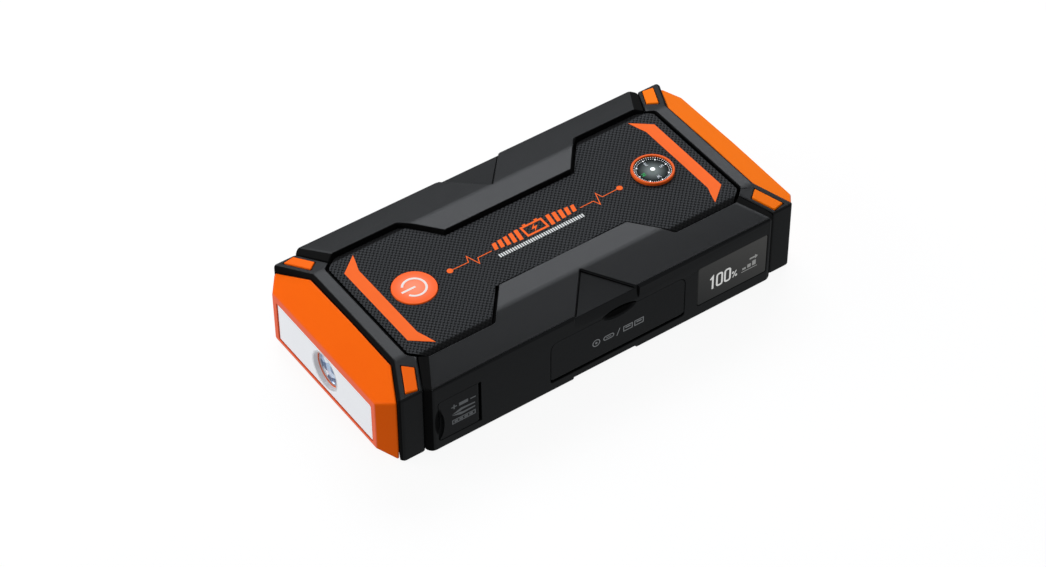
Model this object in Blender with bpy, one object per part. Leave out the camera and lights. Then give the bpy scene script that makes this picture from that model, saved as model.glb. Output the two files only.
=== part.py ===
"""A pocket jump starter pack: a black battery case with a lamp, a compass and covered sockets.

The case lies flat. +X runs along its length to the compass end, and the sockets are in the -Y wall.
Heights are measured from the underside of the case, which its feet lift off the ground.
"""

import math

import bmesh
import bpy
from mathutils import Matrix, Vector

MM = 0.001
GAP = 0.3 * MM  # left between any two pieces that touch
WALL = 2.4 * MM  # moulded wall thickness
OVER = 1.0 * MM  # how far a cutter reaches past the face that it opens
NEAR = -1
FAR = 1
LAMP_END = -1
COMPASS_END = 1

# Case
FOOT_PROUD = 0.8 * MM
CASE_HALF_WIDTH = 46.0 * MM
CASE_CORNER_X = 78.3 * MM  # where the full-width side wall ends
CASE_EDGE_HEIGHT = 32.9 * MM  # top of the side wall
CASE_TOP_HEIGHT = 36.8 * MM
CASE_FLAT_HALF_WIDTH = 28.5 * MM  # the flat top is this wide, and slopes fall from it to the side walls
FLOOR_TOP = 32.0 * MM  # the ledge under the inlay panel
FLOOR_BOTTOM = 30.6 * MM
NEAR_WALL = 4.4 * MM  # the socket wall is thicker
NOTCH_HALF_LENGTH = 14.8 * MM  # of the sunk triangle and of the notch at the foot below it
NOTCH_DEPTH = 1.0 * MM
NOTCH_FADE_HEIGHT = 27.0 * MM  # where the triangle's step down the wall ends
FOOT_NOTCH = (2.0 * MM, 1.6 * MM)  # depth into the wall at the foot, and height

# Bumpers, the rubber frames round both ends
BUMPER_HALF_WIDTH = 43.7 * MM
BUMPER_START_X = 80.8 * MM
BUMPER_CORNER_X = 90.0 * MM
BUMPER_TOP_HEIGHT = 35.8 * MM
BUMPER_EDGE_HEIGHT = 32.4 * MM
BUMPER_FLAT_HALF_WIDTH = 27.2 * MM
BUMPER_INNER = (74.2 * MM, 30.3 * MM)  # where the bumper's inner edge meets the panel recess
BUMPER_PORT_HALF_WIDTH = 37.0 * MM
SEAT_CHAMFER = 1.1 * MM  # along the bumper's top edges beside the cap

# End caps
CAP_START_X = 83.8 * MM
CAP_START_HALF_WIDTH = 27.3 * MM
CAP_START_HEIGHT = 35.2 * MM
CAP_SHOULDER = (91.1 * MM, 41.9 * MM, 31.8 * MM)
CAP_END_X = 96.65 * MM
CAP_END_HALF_WIDTH = 35.0 * MM
CAP_END_HEIGHT = 28.9 * MM
CAP_END_BOTTOM = 3.6 * MM

# Inlay panel and its recess, an hourglass with cut corners
WAIST_HALF_WIDTH = 18.2 * MM
WAIST_HALF_LENGTH = 29.5 * MM
RECESS_HALF_WIDTH = 33.1 * MM
RECESS_NECK_X = 41.6 * MM
RECESS_CORNER_X = 70.9 * MM
RECESS_END_X = 77.6 * MM
RECESS_END_HALF_WIDTH = 27.4 * MM
RECESS_CORNER_RADIUS = 2.2 * MM
PANEL_TOP = 35.2 * MM
PANEL_GROOVE = 1.4 * MM  # the channel left round the panel
PANEL_FLAT_HALF_WIDTH = 28.4 * MM  # outside this the panel's edges fall away
PANEL_EDGE_DROP = 1.5 * MM

# Top controls
BUTTON_X = -55.4 * MM
BUTTON_RADIUS = 8.8 * MM
BUTTON_TRAVEL = 0.8 * MM
COMPASS_X = 55.6 * MM
COMPASS_CUP_RADIUS = 7.4 * MM
COMPASS_BEZEL_RADIUS = 8.65 * MM

# Near wall
PORT_COVER_X = (-25.4 * MM, 36.9 * MM)
PORT_COVER_Z = (4.8 * MM, 25.0 * MM)
JUMPER_COVER_X = (-75.9 * MM, -57.3 * MM)
JUMPER_COVER_Z = (4.8 * MM, 24.7 * MM)
NAIL_NOTCH_X = 5.9 * MM  # middle of the finger notch over the port cover
COVER_THICKNESS = 1.7 * MM
COVER_SET_BACK = 0.1 * MM  # the covers and the display lie this far behind the wall's face
COVER_FACE = -CASE_HALF_WIDTH + COVER_SET_BACK
HINGE_RADIUS = 1.5 * MM
HINGE_BORE = 0.9 * MM
HINGE_PIN_RADIUS = 0.6 * MM
BARREL_CHAMFER = 0.8 * MM
BARREL_SET_IN = 0.05 * MM  # the hinge barrel is this much inside the flap's own faces
DISPLAY_X = (43.6 * MM, 76.6 * MM)
DISPLAY_Z = (6.0 * MM, 25.2 * MM)
SOCKET_HEIGHT = 14.6 * MM  # middle of every socket
JUMPER_SOCKET_X = -67.4 * MM
POWER_JACK_X = -16.0 * MM
USB_C_X = -3.0 * MM
USB_A_X = (11.0 * MM, 26.5 * MM)

# Lamp
LENS_HALF_WIDTH = 32.4 * MM
LENS_Z = (5.4 * MM, 24.4 * MM)
TORCH_RADIUS = 8.7 * MM
TORCH_HEIGHT = 15.0 * MM
TORCH_FRONT_X = -96.1 * MM  # the front of the torch's reflector

# Underside
SCREW_PLACES = [(x * 48.0 * MM, y * 36.5 * MM) for x in (-1, 1) for y in (-1, 1)]
FOOT_PLACES = [(x * 66.0 * MM, y * 34.0 * MM) for x in (-1, 1) for y in (-1, 1)]
FOOT_RADIUS = 5.0 * MM
COVER_PLATE = 2.2 * MM

# Battery
CELL_SIZE = (128.0 * MM, 50.0 * MM, 5.2 * MM)
CELL_MIDDLE = (6.0 * MM, 8.0 * MM)
CELL_COUNT = 4


def clear_scene():
    for piece in list(bpy.data.objects):
        bpy.data.objects.remove(piece)


def make_frame():
    """The empty that every piece hangs on, at the case's underside."""
    frame = bpy.data.objects.new("case_frame", None)
    frame.location = (0, 0, FOOT_PROUD)
    bpy.context.scene.collection.objects.link(frame)
    return frame


def material(name, colour, roughness, metallic=0.0):
    found = bpy.data.materials.get(name)
    if found:
        return found
    made = bpy.data.materials.new(name)
    made.use_nodes = True
    shader = made.node_tree.nodes["Principled BSDF"]
    shader.inputs["Base Color"].default_value = (*colour, 1.0)
    shader.inputs["Roughness"].default_value = roughness
    shader.inputs["Metallic"].default_value = metallic
    made.diffuse_color = (*colour, 1.0)
    return made


MATERIALS = {
    "shell_black": ((0.012, 0.013, 0.015), 0.55, 0.0),
    "bumper_black": ((0.016, 0.017, 0.018), 0.7, 0.0),
    "cap_orange": ((1.0, 0.15, 0.01), 0.45, 0.0),
    "panel_weave": ((0.03, 0.03, 0.032), 0.6, 0.0),
    "cover_rubber": ((0.014, 0.015, 0.016), 0.75, 0.0),
    "lens_white": ((0.8, 0.8, 0.84), 0.35, 0.0),
    "clear_lens": ((0.7, 0.75, 0.8), 0.08, 0.0),
    "reflector_chrome": ((0.8, 0.8, 0.82), 0.12, 1.0),
    "button_orange": ((1.0, 0.12, 0.03), 0.3, 0.0),
    "display_glass": ((0.03, 0.03, 0.03), 0.1, 0.0),
    "dial_black": ((0.02, 0.025, 0.025), 0.4, 0.0),
    "board_green": ((0.02, 0.12, 0.05), 0.5, 0.0),
    "steel": ((0.6, 0.6, 0.62), 0.3, 1.0),
    "brass": ((0.75, 0.55, 0.2), 0.3, 1.0),
    "copper": ((0.8, 0.4, 0.2), 0.35, 1.0),
    "socket_blue": ((0.02, 0.08, 0.4), 0.5, 0.0),
    "foil_silver": ((0.7, 0.7, 0.72), 0.4, 1.0),
    "foam_grey": ((0.1, 0.1, 0.1), 0.95, 0.0),
    "lead_red": ((0.6, 0.02, 0.02), 0.5, 0.0),
    "lead_black": ((0.01, 0.01, 0.01), 0.5, 0.0),
    "rubber_grey": ((0.03, 0.03, 0.03), 0.85, 0.0),
    "emitter_yellow": ((0.9, 0.75, 0.1), 0.5, 0.0),
    "silicone_white": ((0.8, 0.8, 0.8), 0.6, 0.0),
}


def finish_mesh(name, shape, finish, location=(0, 0, 0)):
    """Turns a bmesh into a named object on the case frame. A finish of None makes a hidden cutter."""
    bmesh.ops.remove_doubles(shape, verts=shape.verts, dist=1e-7)
    bmesh.ops.recalc_face_normals(shape, faces=shape.faces)
    mesh = bpy.data.meshes.new(name)
    shape.to_mesh(mesh)
    shape.free()
    piece = bpy.data.objects.new(name, mesh)
    bpy.context.scene.collection.objects.link(piece)
    piece.parent = FRAME
    piece.location = location
    if finish is None:
        piece.hide_render = True
        piece.display_type = "WIRE"
    else:
        mesh.materials.append(material(finish, *MATERIALS[finish]))
    return piece


def prism_shape(outline, low, high):
    """A bmesh of a plan outline, given as (x, y) points, between two heights."""
    shape = bmesh.new()
    corners = [shape.verts.new((x, y, low)) for x, y in outline]
    face = shape.faces.new(corners)
    raised = bmesh.ops.extrude_face_region(shape, geom=[face])
    tops = [item for item in raised["geom"] if isinstance(item, bmesh.types.BMVert)]
    bmesh.ops.translate(shape, verts=tops, vec=(0, 0, high - low))
    bmesh.ops.recalc_face_normals(shape, faces=shape.faces)
    return shape


def slice_off(shape, planes, inset=0.0):
    """Cuts away what lies beyond each plane, given as (point, outward normal), moved in by inset."""
    for point, normal in planes:
        outward = Vector(normal).normalized()
        result = bmesh.ops.bisect_plane(
            shape,
            geom=shape.verts[:] + shape.edges[:] + shape.faces[:],
            plane_co=Vector(point) - outward * inset,
            plane_no=outward,
            clear_outer=True,
            dist=1e-8,
        )
        rim = [item for item in result["geom_cut"] if isinstance(item, bmesh.types.BMEdge)]
        if rim:
            bmesh.ops.contextual_create(shape, geom=rim)


def prism(name, outline, low, high, finish, planes=(), location=(0, 0, 0)):
    shape = prism_shape(outline, low, high)
    slice_off(shape, planes)
    return finish_mesh(name, shape, finish, location)


def box(name, x, y, z, finish):
    """A box between the low and high ends given for each axis."""
    outline = [(x[0], y[0]), (x[1], y[0]), (x[1], y[1]), (x[0], y[1])]
    return prism(name, outline, z[0], z[1], finish)


def lathe(name, profile, finish, steps=32, axis="Z", location=(0, 0, 0)):
    """A turned piece. The profile is a closed loop of (radius, height) points."""
    shape = bmesh.new()
    loop = [shape.verts.new((radius, 0, height)) for radius, height in profile]
    edges = [shape.edges.new((loop[i - 1], loop[i])) for i in range(len(loop))]
    kept = [edge for edge in edges if max(v.co.x for v in edge.verts) > 1e-9]
    for edge in set(edges) - set(kept):
        shape.edges.remove(edge)
    bmesh.ops.spin(
        shape, geom=kept, cent=(0, 0, 0), axis=(0, 0, 1), angle=math.tau, steps=steps, use_merge=True
    )
    bmesh.ops.remove_doubles(shape, verts=shape.verts, dist=1e-7)
    if axis == "X":
        turn_to_x(shape)
    if axis == "Y":
        turn_to_y(shape)
    piece = finish_mesh(name, shape, finish, location)
    piece.data.shade_smooth()
    piece.data.set_sharp_from_angle(angle=math.radians(35))
    return piece


def turn_to_x(shape):
    """Lays the turning axis, +Z, along +X."""
    for vert in shape.verts:
        vert.co = Vector((vert.co.z, vert.co.y, -vert.co.x))


def turn_to_y(shape):
    """Lays the turning axis, +Z, along +Y."""
    for vert in shape.verts:
        vert.co = Vector((vert.co.x, vert.co.z, -vert.co.y))


def cylinder(name, radius, low, high, finish, steps=24, axis="Z", location=(0, 0, 0)):
    profile = [(0, low), (radius, low), (radius, high), (0, high)]
    return lathe(name, profile, finish, steps, axis, location)


def combine(piece, other, operation):
    change = piece.modifiers.new(f"{operation.lower()}_{other.name}", "BOOLEAN")
    change.operation = operation
    change.solver = "EXACT"
    change.object = other


def subtract(piece, *cutters):
    for cutter in cutters:
        combine(piece, cutter, "DIFFERENCE")


def unite(piece, *others):
    for other in others:
        combine(piece, other, "UNION")


def soften(piece, width, segments=1):
    bevel = piece.modifiers.new("soft_edges", "BEVEL")
    bevel.width = width
    bevel.segments = segments
    bevel.limit_method = "ANGLE"
    bevel.angle_limit = math.radians(40)


def hang_on(piece, pivot):
    """Moves a piece's origin to its joint without moving the piece."""
    offset = Vector(pivot)
    for vert in piece.data.vertices:
        vert.co -= offset
    piece.location = offset


def mirrored(points):
    """The full plan outline, from the points of its +X +Y quarter, in order from +X round to +Y."""
    quarter = list(points)
    left = [(-x, y) for x, y in reversed(quarter)]
    upper = quarter + left
    lower = [(x, -y) for x, y in reversed(upper)]
    outline = []
    for point in upper + lower:
        if point not in outline:
            outline.append(point)
    return outline


def inset(outline, distance):
    """A convex outline, drawn anticlockwise, moved in by a distance on every side."""
    corners = [Vector((x, y)) for x, y in outline]
    moved = []
    for i, corner in enumerate(corners):
        before = (corner - corners[i - 1]).normalized()
        after = (corners[(i + 1) % len(corners)] - corner).normalized()
        inward = Vector((-before.y - after.y, before.x + after.x)).normalized()
        reach = distance / max(inward.dot(Vector((-after.y, after.x))), 0.1)
        moved.append(tuple(corner + inward * reach))
    return moved


def rounded(x, z, radius, steps=4):
    """A rectangle's outline with round corners."""
    middles = [
        (x[1] - radius, z[1] - radius, 0),
        (x[0] + radius, z[1] - radius, 90),
        (x[0] + radius, z[0] + radius, 180),
        (x[1] - radius, z[0] + radius, 270),
    ]
    outline = []
    for across, up, start in middles:
        for step in range(steps + 1):
            angle = math.radians(start + 90 * step / steps)
            outline.append((across + radius * math.cos(angle), up + radius * math.sin(angle)))
    return outline


def wall_prism(name, outline, y, finish):
    """An (x, z) outline in a side wall, between two depths along Y."""
    shape = prism_shape(outline, y[0], y[1])
    for vert in shape.verts:
        vert.co = Vector((vert.co.x, vert.co.z, vert.co.y))
    return finish_mesh(name, shape, finish)


def end_prism(name, outline, x, finish):
    """A (y, z) outline in an end, between two depths along X."""
    shape = prism_shape(outline, x[0], x[1])
    for vert in shape.verts:
        vert.co = Vector((vert.co.z, vert.co.x, vert.co.y))
    return finish_mesh(name, shape, finish)


def slope(side, flat, edge):
    """The plane falling from a flat top to a side wall, as (point, outward normal)."""
    run = edge[0] - flat[0]
    drop = flat[1] - edge[1]
    return (0, side * flat[0], flat[1]), (0, side * drop, run)


def case_slope(side):
    flat = (CASE_FLAT_HALF_WIDTH, CASE_TOP_HEIGHT)
    return slope(side, flat, (CASE_HALF_WIDTH, CASE_EDGE_HEIGHT))


def bumper_slope(side):
    flat = (BUMPER_FLAT_HALF_WIDTH, BUMPER_TOP_HEIGHT)
    return slope(side, flat, (BUMPER_HALF_WIDTH, BUMPER_EDGE_HEIGHT))


def height_on(plane, x, y):
    point, normal = plane
    return point[2] - (normal[0] * (x - point[0]) + normal[1] * (y - point[1])) / normal[2]


def plane_through(first, second, third):
    """(point, normal) of the plane through three points, with the normal pointing up."""
    a, b, c = Vector(first), Vector(second), Vector(third)
    normal = (b - a).cross(c - a).normalized()
    if normal.z < 0:
        normal.negate()
    return a, normal


def rail_end(end, side):
    """The facet that steps each rail's end down to the lower bumper."""
    high = case_slope(side)
    low = bumper_slope(side)
    top = (end * RECESS_CORNER_X, side * RECESS_HALF_WIDTH)
    corner = (end * CASE_CORNER_X, side * CASE_HALF_WIDTH, CASE_EDGE_HEIGHT)
    foot = (end * BUMPER_INNER[0], side * BUMPER_INNER[1])
    return plane_through(
        (*top, height_on(high, *top)), corner, (*foot, height_on(low, *foot))
    )


def eased(outline, radius, steps=3):
    """An anticlockwise outline with its outward corners rounded."""
    points = []
    for i, corner in enumerate(outline):
        here = Vector(corner)
        back = (Vector(outline[i - 1]) - here).normalized()
        ahead = (Vector(outline[(i + 1) % len(outline)]) - here).normalized()
        if back.x * ahead.y - back.y * ahead.x > 0:
            points.append(corner)
            continue
        half = back.angle(ahead) / 2
        centre = here + (back + ahead).normalized() * radius / math.sin(half)
        start = here + back * radius / math.tan(half) - centre
        for step in range(steps + 1):
            turn = Matrix.Rotation((math.pi - 2 * half) * step / steps, 2)
            points.append(tuple(centre + turn @ start))
    return points


def recess_outline(clearance=0.0):
    corners = mirrored(
        [
            (RECESS_END_X - clearance, RECESS_END_HALF_WIDTH - clearance * 0.4),
            (RECESS_CORNER_X - clearance * 0.4, RECESS_HALF_WIDTH - clearance),
            (RECESS_NECK_X + clearance * 0.5, RECESS_HALF_WIDTH - clearance),
            (WAIST_HALF_LENGTH + clearance * 0.5, WAIST_HALF_WIDTH - clearance),
        ]
    )
    return eased(corners, RECESS_CORNER_RADIUS)


def main_housing():
    """The moulded case: side walls, rails and the ledge under the panel, open underneath."""
    outline = mirrored(
        [
            (BUMPER_START_X - GAP, BUMPER_HALF_WIDTH + GAP),
            (CASE_CORNER_X, CASE_HALF_WIDTH),
        ]
    )
    planes = [case_slope(side) for side in (NEAR, FAR)]
    planes += [rail_end(end, side) for end in (-1, 1) for side in (NEAR, FAR)]
    housing = prism("main_housing", outline, 0, CASE_TOP_HEIGHT, "shell_black", planes)
    soften(housing, 1.1 * MM, 2)
    cavity_x = (-CASE_CORNER_X + 0.1 * MM, CASE_CORNER_X - 0.1 * MM)
    far = CASE_HALF_WIDTH - WALL
    rebate = box("cut_rebate", cavity_x, (-far, far), (-OVER, COVER_PLATE + GAP), None)
    near = -CASE_HALF_WIDTH + NEAR_WALL
    cavity = box("cut_cavity", cavity_x, (near, far), (COVER_PLATE, FLOOR_BOTTOM), None)
    subtract(housing, rebate, cavity)
    add_screw_bosses(housing)
    subtract(housing, *panel_cutters())
    subtract(housing, *notch_cutters())
    subtract(housing, *port_cutters(), *jumper_cutters(), *display_cutters())
    lead_way = box("cut_lead_way", (-90 * MM, -75 * MM), (-6 * MM, 6 * MM), (8 * MM, 20 * MM), None)
    subtract(housing, lead_way)
    return housing


def add_screw_bosses(housing):
    for i, place in enumerate(SCREW_PLACES):
        post = cylinder(
            f"boss_{i}", 3.0 * MM, COVER_PLATE + GAP, FLOOR_BOTTOM + 0.5 * MM, None, 12, location=(*place, 0)
        )
        pilot = cylinder(f"pilot_{i}", 1.6 * MM, 0, 12 * MM, None, 12, location=(*place, 0))
        unite(housing, post)
        subtract(housing, pilot)


def panel_cutters():
    """The panel's recess, the ledges under the bumpers, and the button and compass holes."""
    cutters = [prism("cut_recess", recess_outline(), FLOOR_TOP, 50 * MM, None)]
    for end in (-1, 1):
        inner_x = end * (BUMPER_INNER[0] - GAP)
        outer_x = end * (BUMPER_START_X + OVER)
        outer_y = CASE_HALF_WIDTH
        outline = [
            (inner_x, -BUMPER_INNER[1]),
            (outer_x, -outer_y),
            (outer_x, outer_y),
            (inner_x, BUMPER_INNER[1]),
        ]
        cutters.append(prism(f"cut_ledge_{end + 1}", outline, FLOOR_TOP, 50 * MM, None))
    button = (BUTTON_X, 0, 0)
    compass = (COMPASS_X, 0, 0)
    low, high = FLOOR_BOTTOM - OVER, FLOOR_TOP + OVER
    cutters.append(cylinder("cut_button", BUTTON_RADIUS + 1.7 * MM, low, high, None, 32, location=button))
    cutters.append(cylinder("cut_compass", COMPASS_CUP_RADIUS + GAP, low, high, None, 32, location=compass))
    return cutters


def notch_cutters():
    """On both sides, a triangle sunk in the slope, which fades out down the wall, and a notch at the foot."""
    half = NOTCH_HALF_LENGTH
    cutters = []
    for side in (NEAR, FAR):
        high = (CASE_FLAT_HALF_WIDTH, CASE_TOP_HEIGHT - NOTCH_DEPTH)
        point, normal = slope(side, high, (CASE_HALF_WIDTH, CASE_EDGE_HEIGHT - NOTCH_DEPTH))
        outline = [
            (0, side * CASE_FLAT_HALF_WIDTH),
            (half, side * CASE_HALF_WIDTH),
            (half, side * (CASE_HALF_WIDTH + 2 * MM)),
            (-half, side * (CASE_HALF_WIDTH + 2 * MM)),
            (-half, side * CASE_HALF_WIDTH),
        ]
        planes = [(point, -Vector(normal))]
        cutters.append(prism(f"cut_triangle_{side + 1}", outline, 20 * MM, 50 * MM, None, planes))
        face = side * CASE_HALF_WIDTH
        outer = face + side * OVER
        inner = face - side * NOTCH_DEPTH
        top = CASE_EDGE_HEIGHT + OVER
        fade = [(outer, NOTCH_FADE_HEIGHT), (face, NOTCH_FADE_HEIGHT), (inner, top), (outer, top)]
        cutters.append(end_prism(f"cut_fade_{side + 1}", fade, (-half, half), None))
        inner = face - side * FOOT_NOTCH[0]
        foot = [(inner, -OVER), (inner, 0), (face, FOOT_NOTCH[1]), (outer, FOOT_NOTCH[1]), (outer, -OVER)]
        cutters.append(end_prism(f"cut_foot_{side + 1}", foot, (-half, half), None))
    return cutters


def grown(span, distance):
    return span[0] - distance, span[1] + distance


def port_hinge():
    """Y and Z of the port cover's hinge line."""
    return COVER_FACE + HINGE_RADIUS, PORT_COVER_Z[0] + HINGE_RADIUS


def jumper_hinge():
    """X and Y of the jumper cover's hinge line."""
    return JUMPER_COVER_X[1] - HINGE_RADIUS, COVER_FACE + HINGE_RADIUS


def port_cutters():
    """The seat of the port cover, its hinge groove and pin hole, the nail notch and four socket holes."""
    face = -CASE_HALF_WIDTH
    seat = rounded(grown(PORT_COVER_X, GAP), grown(PORT_COVER_Z, GAP), 3.5 * MM)
    seat_depth = (face - OVER, face + COVER_SET_BACK + COVER_THICKNESS + GAP)
    y, z = port_hinge()
    groove_z = (PORT_COVER_Z[0] - GAP, z + HINGE_RADIUS + GAP)
    groove = rounded(grown(PORT_COVER_X, GAP), groove_z, BARREL_CHAMFER + GAP, 2)
    groove_depth = (face - OVER, y + HINGE_RADIUS + GAP)
    through = (face, face + NEAR_WALL + OVER)
    pin_x = grown(PORT_COVER_X, 2.0 * MM)
    cutters = [
        wall_prism("cut_port_seat", seat, seat_depth, None),
        wall_prism("cut_port_groove", groove, groove_depth, None),
        cylinder("cut_port_pin", HINGE_BORE, *pin_x, None, 12, "X", (0, y, z)),
        dish("cut_nail_port", (NAIL_NOTCH_X, face, 25.0 * MM), (8.2 * MM, 2.3 * MM, 2.6 * MM)),
    ]
    for i, x in enumerate(USB_A_X):
        hole = rounded((x - 6.9 * MM, x + 6.9 * MM), around(SOCKET_HEIGHT, 3.2 * MM), 0.8 * MM, 2)
        cutters.append(wall_prism(f"cut_usb_a_{i}", hole, through, None))
    hole = rounded((USB_C_X - 4.9 * MM, USB_C_X + 4.9 * MM), around(SOCKET_HEIGHT, 1.9 * MM), 1.8 * MM, 4)
    cutters.append(wall_prism("cut_usb_c", hole, through, None))
    jack = (POWER_JACK_X, 0, SOCKET_HEIGHT)
    cutters.append(cylinder("cut_jack", 3.5 * MM, *through, None, 24, "Y", jack))
    return cutters


def around(middle, half):
    return middle - half, middle + half


def jumper_cutters():
    """The seat of the jumper cover, its hinge groove and pin hole, and the socket's mouth."""
    face = -CASE_HALF_WIDTH
    seat = rounded(grown(JUMPER_COVER_X, GAP), grown(JUMPER_COVER_Z, GAP), 1.5 * MM)
    seat_depth = (face - OVER, face + COVER_SET_BACK + COVER_THICKNESS + GAP)
    x, y = jumper_hinge()
    groove_x = (x - HINGE_RADIUS - GAP, JUMPER_COVER_X[1] + GAP)
    groove_depth = (face - OVER, y + HINGE_RADIUS + GAP)
    pin_z = grown(JUMPER_COVER_Z, 2.0 * MM)
    mouth = around(JUMPER_SOCKET_X, 4.6 * MM)
    return [
        wall_prism("cut_jumper_seat", seat, seat_depth, None),
        box("cut_jumper_groove", groove_x, groove_depth, grown(JUMPER_COVER_Z, GAP), None),
        cylinder("cut_jumper_pin", HINGE_BORE, *pin_z, None, 12, "Z", (x, y, 0)),
        box("cut_mouth", mouth, (face, face + NEAR_WALL + OVER), around(SOCKET_HEIGHT, 8.2 * MM), None),
    ]


def display_cutters():
    face = -CASE_HALF_WIDTH
    seat = rounded(grown(DISPLAY_X, GAP), grown(DISPLAY_Z, GAP), 0.9 * MM)
    hole = rounded(grown(DISPLAY_X, -1.8 * MM), grown(DISPLAY_Z, -1.8 * MM), 1.0 * MM)
    return [
        wall_prism("cut_display_seat", seat, (face - OVER, face + 1.5 * MM), None),
        wall_prism("cut_display_hole", hole, (face, face + NEAR_WALL + OVER), None),
    ]


def dish(name, middle, radii):
    """A hollow scooped by an ellipsoid."""
    shape = bmesh.new()
    bmesh.ops.create_uvsphere(shape, u_segments=20, v_segments=10, radius=1.0)
    bmesh.ops.scale(shape, verts=shape.verts, vec=radii)
    return finish_mesh(name, shape, None, middle)


def bottom_cover():
    """The plate that closes the case, with countersunk screw holes and seats for the feet."""
    x = around(0, CASE_CORNER_X - 0.1 * MM - GAP)
    y = around(0, CASE_HALF_WIDTH - WALL - GAP)
    cover = prism("bottom_cover", rounded(x, y, 2 * MM, 3), 0, COVER_PLATE, "shell_black")
    for i, place in enumerate(SCREW_PLACES):
        cone = [
            (0, -OVER),
            (3.0 * MM, -OVER),
            (3.0 * MM, 0.3 * MM),
            (1.6 * MM, 1.6 * MM),
            (1.6 * MM, 3 * MM),
            (0, 3 * MM),
        ]
        subtract(cover, lathe(f"cut_screw_{i}", cone, None, 16, location=(*place, 0)))
    for i, place in enumerate(FOOT_PLACES):
        place = (*place, 0)
        subtract(cover, cylinder(f"cut_seat_{i}", FOOT_RADIUS + GAP, -OVER, 0.9 * MM, None, 20, location=place))
    return cover


def screws_and_feet():
    for i, place in enumerate(SCREW_PLACES):
        profile = [
            (0, 0.2 * MM),
            (2.6 * MM, 0.2 * MM),
            (2.6 * MM, 0.5 * MM),
            (1.2 * MM, 1.7 * MM),
            (1.2 * MM, 9 * MM),
            (0, 9 * MM),
        ]
        screw = lathe(f"case_screw_{i + 1}", profile, "steel", 16, location=(*place, 0))
        drive = cylinder(f"cut_drive_{i}", 0.9 * MM, -OVER, 0.9 * MM, None, 6, location=(*place, 0))
        subtract(screw, drive)
    for i, place in enumerate(FOOT_PLACES):
        profile = [
            (0, -FOOT_PROUD),
            (FOOT_RADIUS - 0.5 * MM, -FOOT_PROUD),
            (FOOT_RADIUS, -FOOT_PROUD + 0.4 * MM),
            (FOOT_RADIUS, 0.6 * MM),
            (0, 0.6 * MM),
        ]
        lathe(f"foot_{i + 1}", profile, "rubber_grey", 20, location=(*place, 0))


def cap_footprint(end, clearance=0.0):
    """The cap's plan outline, which the bumper leaves free, with clearance all round."""
    half = [
        (CAP_START_X, CAP_START_HALF_WIDTH),
        (CAP_SHOULDER[0], CAP_SHOULDER[1]),
        (CAP_END_X, CAP_END_HALF_WIDTH),
    ]
    outline = [(x, -y) for x, y in half] + [(x, y) for x, y in reversed(half)]
    moved = inset(outline, -clearance)
    return [(end * x, y) for x, y in moved]


def bumper(end, name):
    """A rubber frame round one end, with thick corners and a wide hole through the middle."""
    outer = [
        BUMPER_INNER,
        (BUMPER_START_X, BUMPER_HALF_WIDTH),
        (BUMPER_CORNER_X, BUMPER_HALF_WIDTH),
        (CAP_SHOULDER[0], CAP_SHOULDER[1]),
    ]
    outline = [(end * x, y) for x, y in outer] + [(end * x, -y) for x, y in reversed(outer)]
    planes = [bumper_slope(side) for side in (NEAR, FAR)]
    frame = prism(name, outline, 0, BUMPER_TOP_HEIGHT, "bumper_black", planes)
    soften(frame, 0.8 * MM, 2)
    start = sorted((end * 60 * MM, end * BUMPER_START_X))
    under = box(f"cut_under_{name}", start, around(0, 60 * MM), (-OVER, FLOOR_TOP + GAP), None)
    seat = prism(f"cut_cap_{name}", cap_footprint(end, GAP), -OVER, 50 * MM, None)
    panel = prism(f"cut_panel_{name}", recess_outline(), FLOOR_TOP, 50 * MM, None)
    through = sorted((end * (BUMPER_START_X - OVER), end * 95 * MM))
    hole = box(f"cut_port_{name}", through, around(0, BUMPER_PORT_HALF_WIDTH), (4 * MM, 29.5 * MM), None)
    subtract(frame, under, seat, seat_funnel(end, name), panel, hole)
    subtract(frame, *insert_cutters(end, name))
    return frame


def seat_funnel(end, name):
    """Cuts the bumper's top edges beside the cap at 45 degrees."""
    edge = cap_footprint(end, GAP)
    wide = cap_footprint(end, GAP + SEAT_CHAMFER)

    def surface(x, y):
        slopes = [height_on(bumper_slope(side), x, y) for side in (NEAR, FAR)]
        return min(BUMPER_TOP_HEIGHT, *slopes)

    planes = []
    for i, j in ((5, 0), (0, 1), (4, 5)):
        inner = (*edge[i], surface(*edge[i]) - SEAT_CHAMFER)
        point, normal = plane_through((*wide[i], surface(*wide[i])), (*wide[j], surface(*wide[j])), inner)
        planes.append((point, -normal))
    return prism(f"cut_funnel_{name}", wide, 25 * MM, 50 * MM, None, planes)


def insert_outline(end, side, clearance=0.0):
    """The slanted plate on a bumper's corner, drawn anticlockwise in its own +X +Y quarter."""
    corners = [
        (81.7 * MM, 30.8 * MM),
        (87.0 * MM, 41.5 * MM),
        (82.3 * MM, 42.4 * MM),
        (78.0 * MM, 33.8 * MM),
    ]
    moved = inset(corners, -clearance)
    return [(end * x, side * y) for x, y in moved]


def insert_cutters(end, name):
    """A shallow seat for each corner plate, 0.9 mm deep in the sloping corner."""
    cutters = []
    for side in (NEAR, FAR):
        point, normal = bumper_slope(side)
        upright = Vector(normal).normalized()
        floor = (Vector(point) - upright * 0.9 * MM, -upright)
        outline = insert_outline(end, side, GAP)
        cutters.append(prism(f"cut_insert_{name}_{side + 1}", outline, 25 * MM, 50 * MM, None, [floor]))
    return cutters


def corner_insert(end, side, name):
    point, normal = bumper_slope(side)
    upright = Vector(normal).normalized()
    top = (Vector(point) + upright * 0.4 * MM, upright)
    bottom = (Vector(point) - upright * 0.6 * MM, -upright)
    plate = prism(name, insert_outline(end, side), 25 * MM, 50 * MM, "cap_orange", [top, bottom])
    soften(plate, 0.25 * MM)
    return plate


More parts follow.
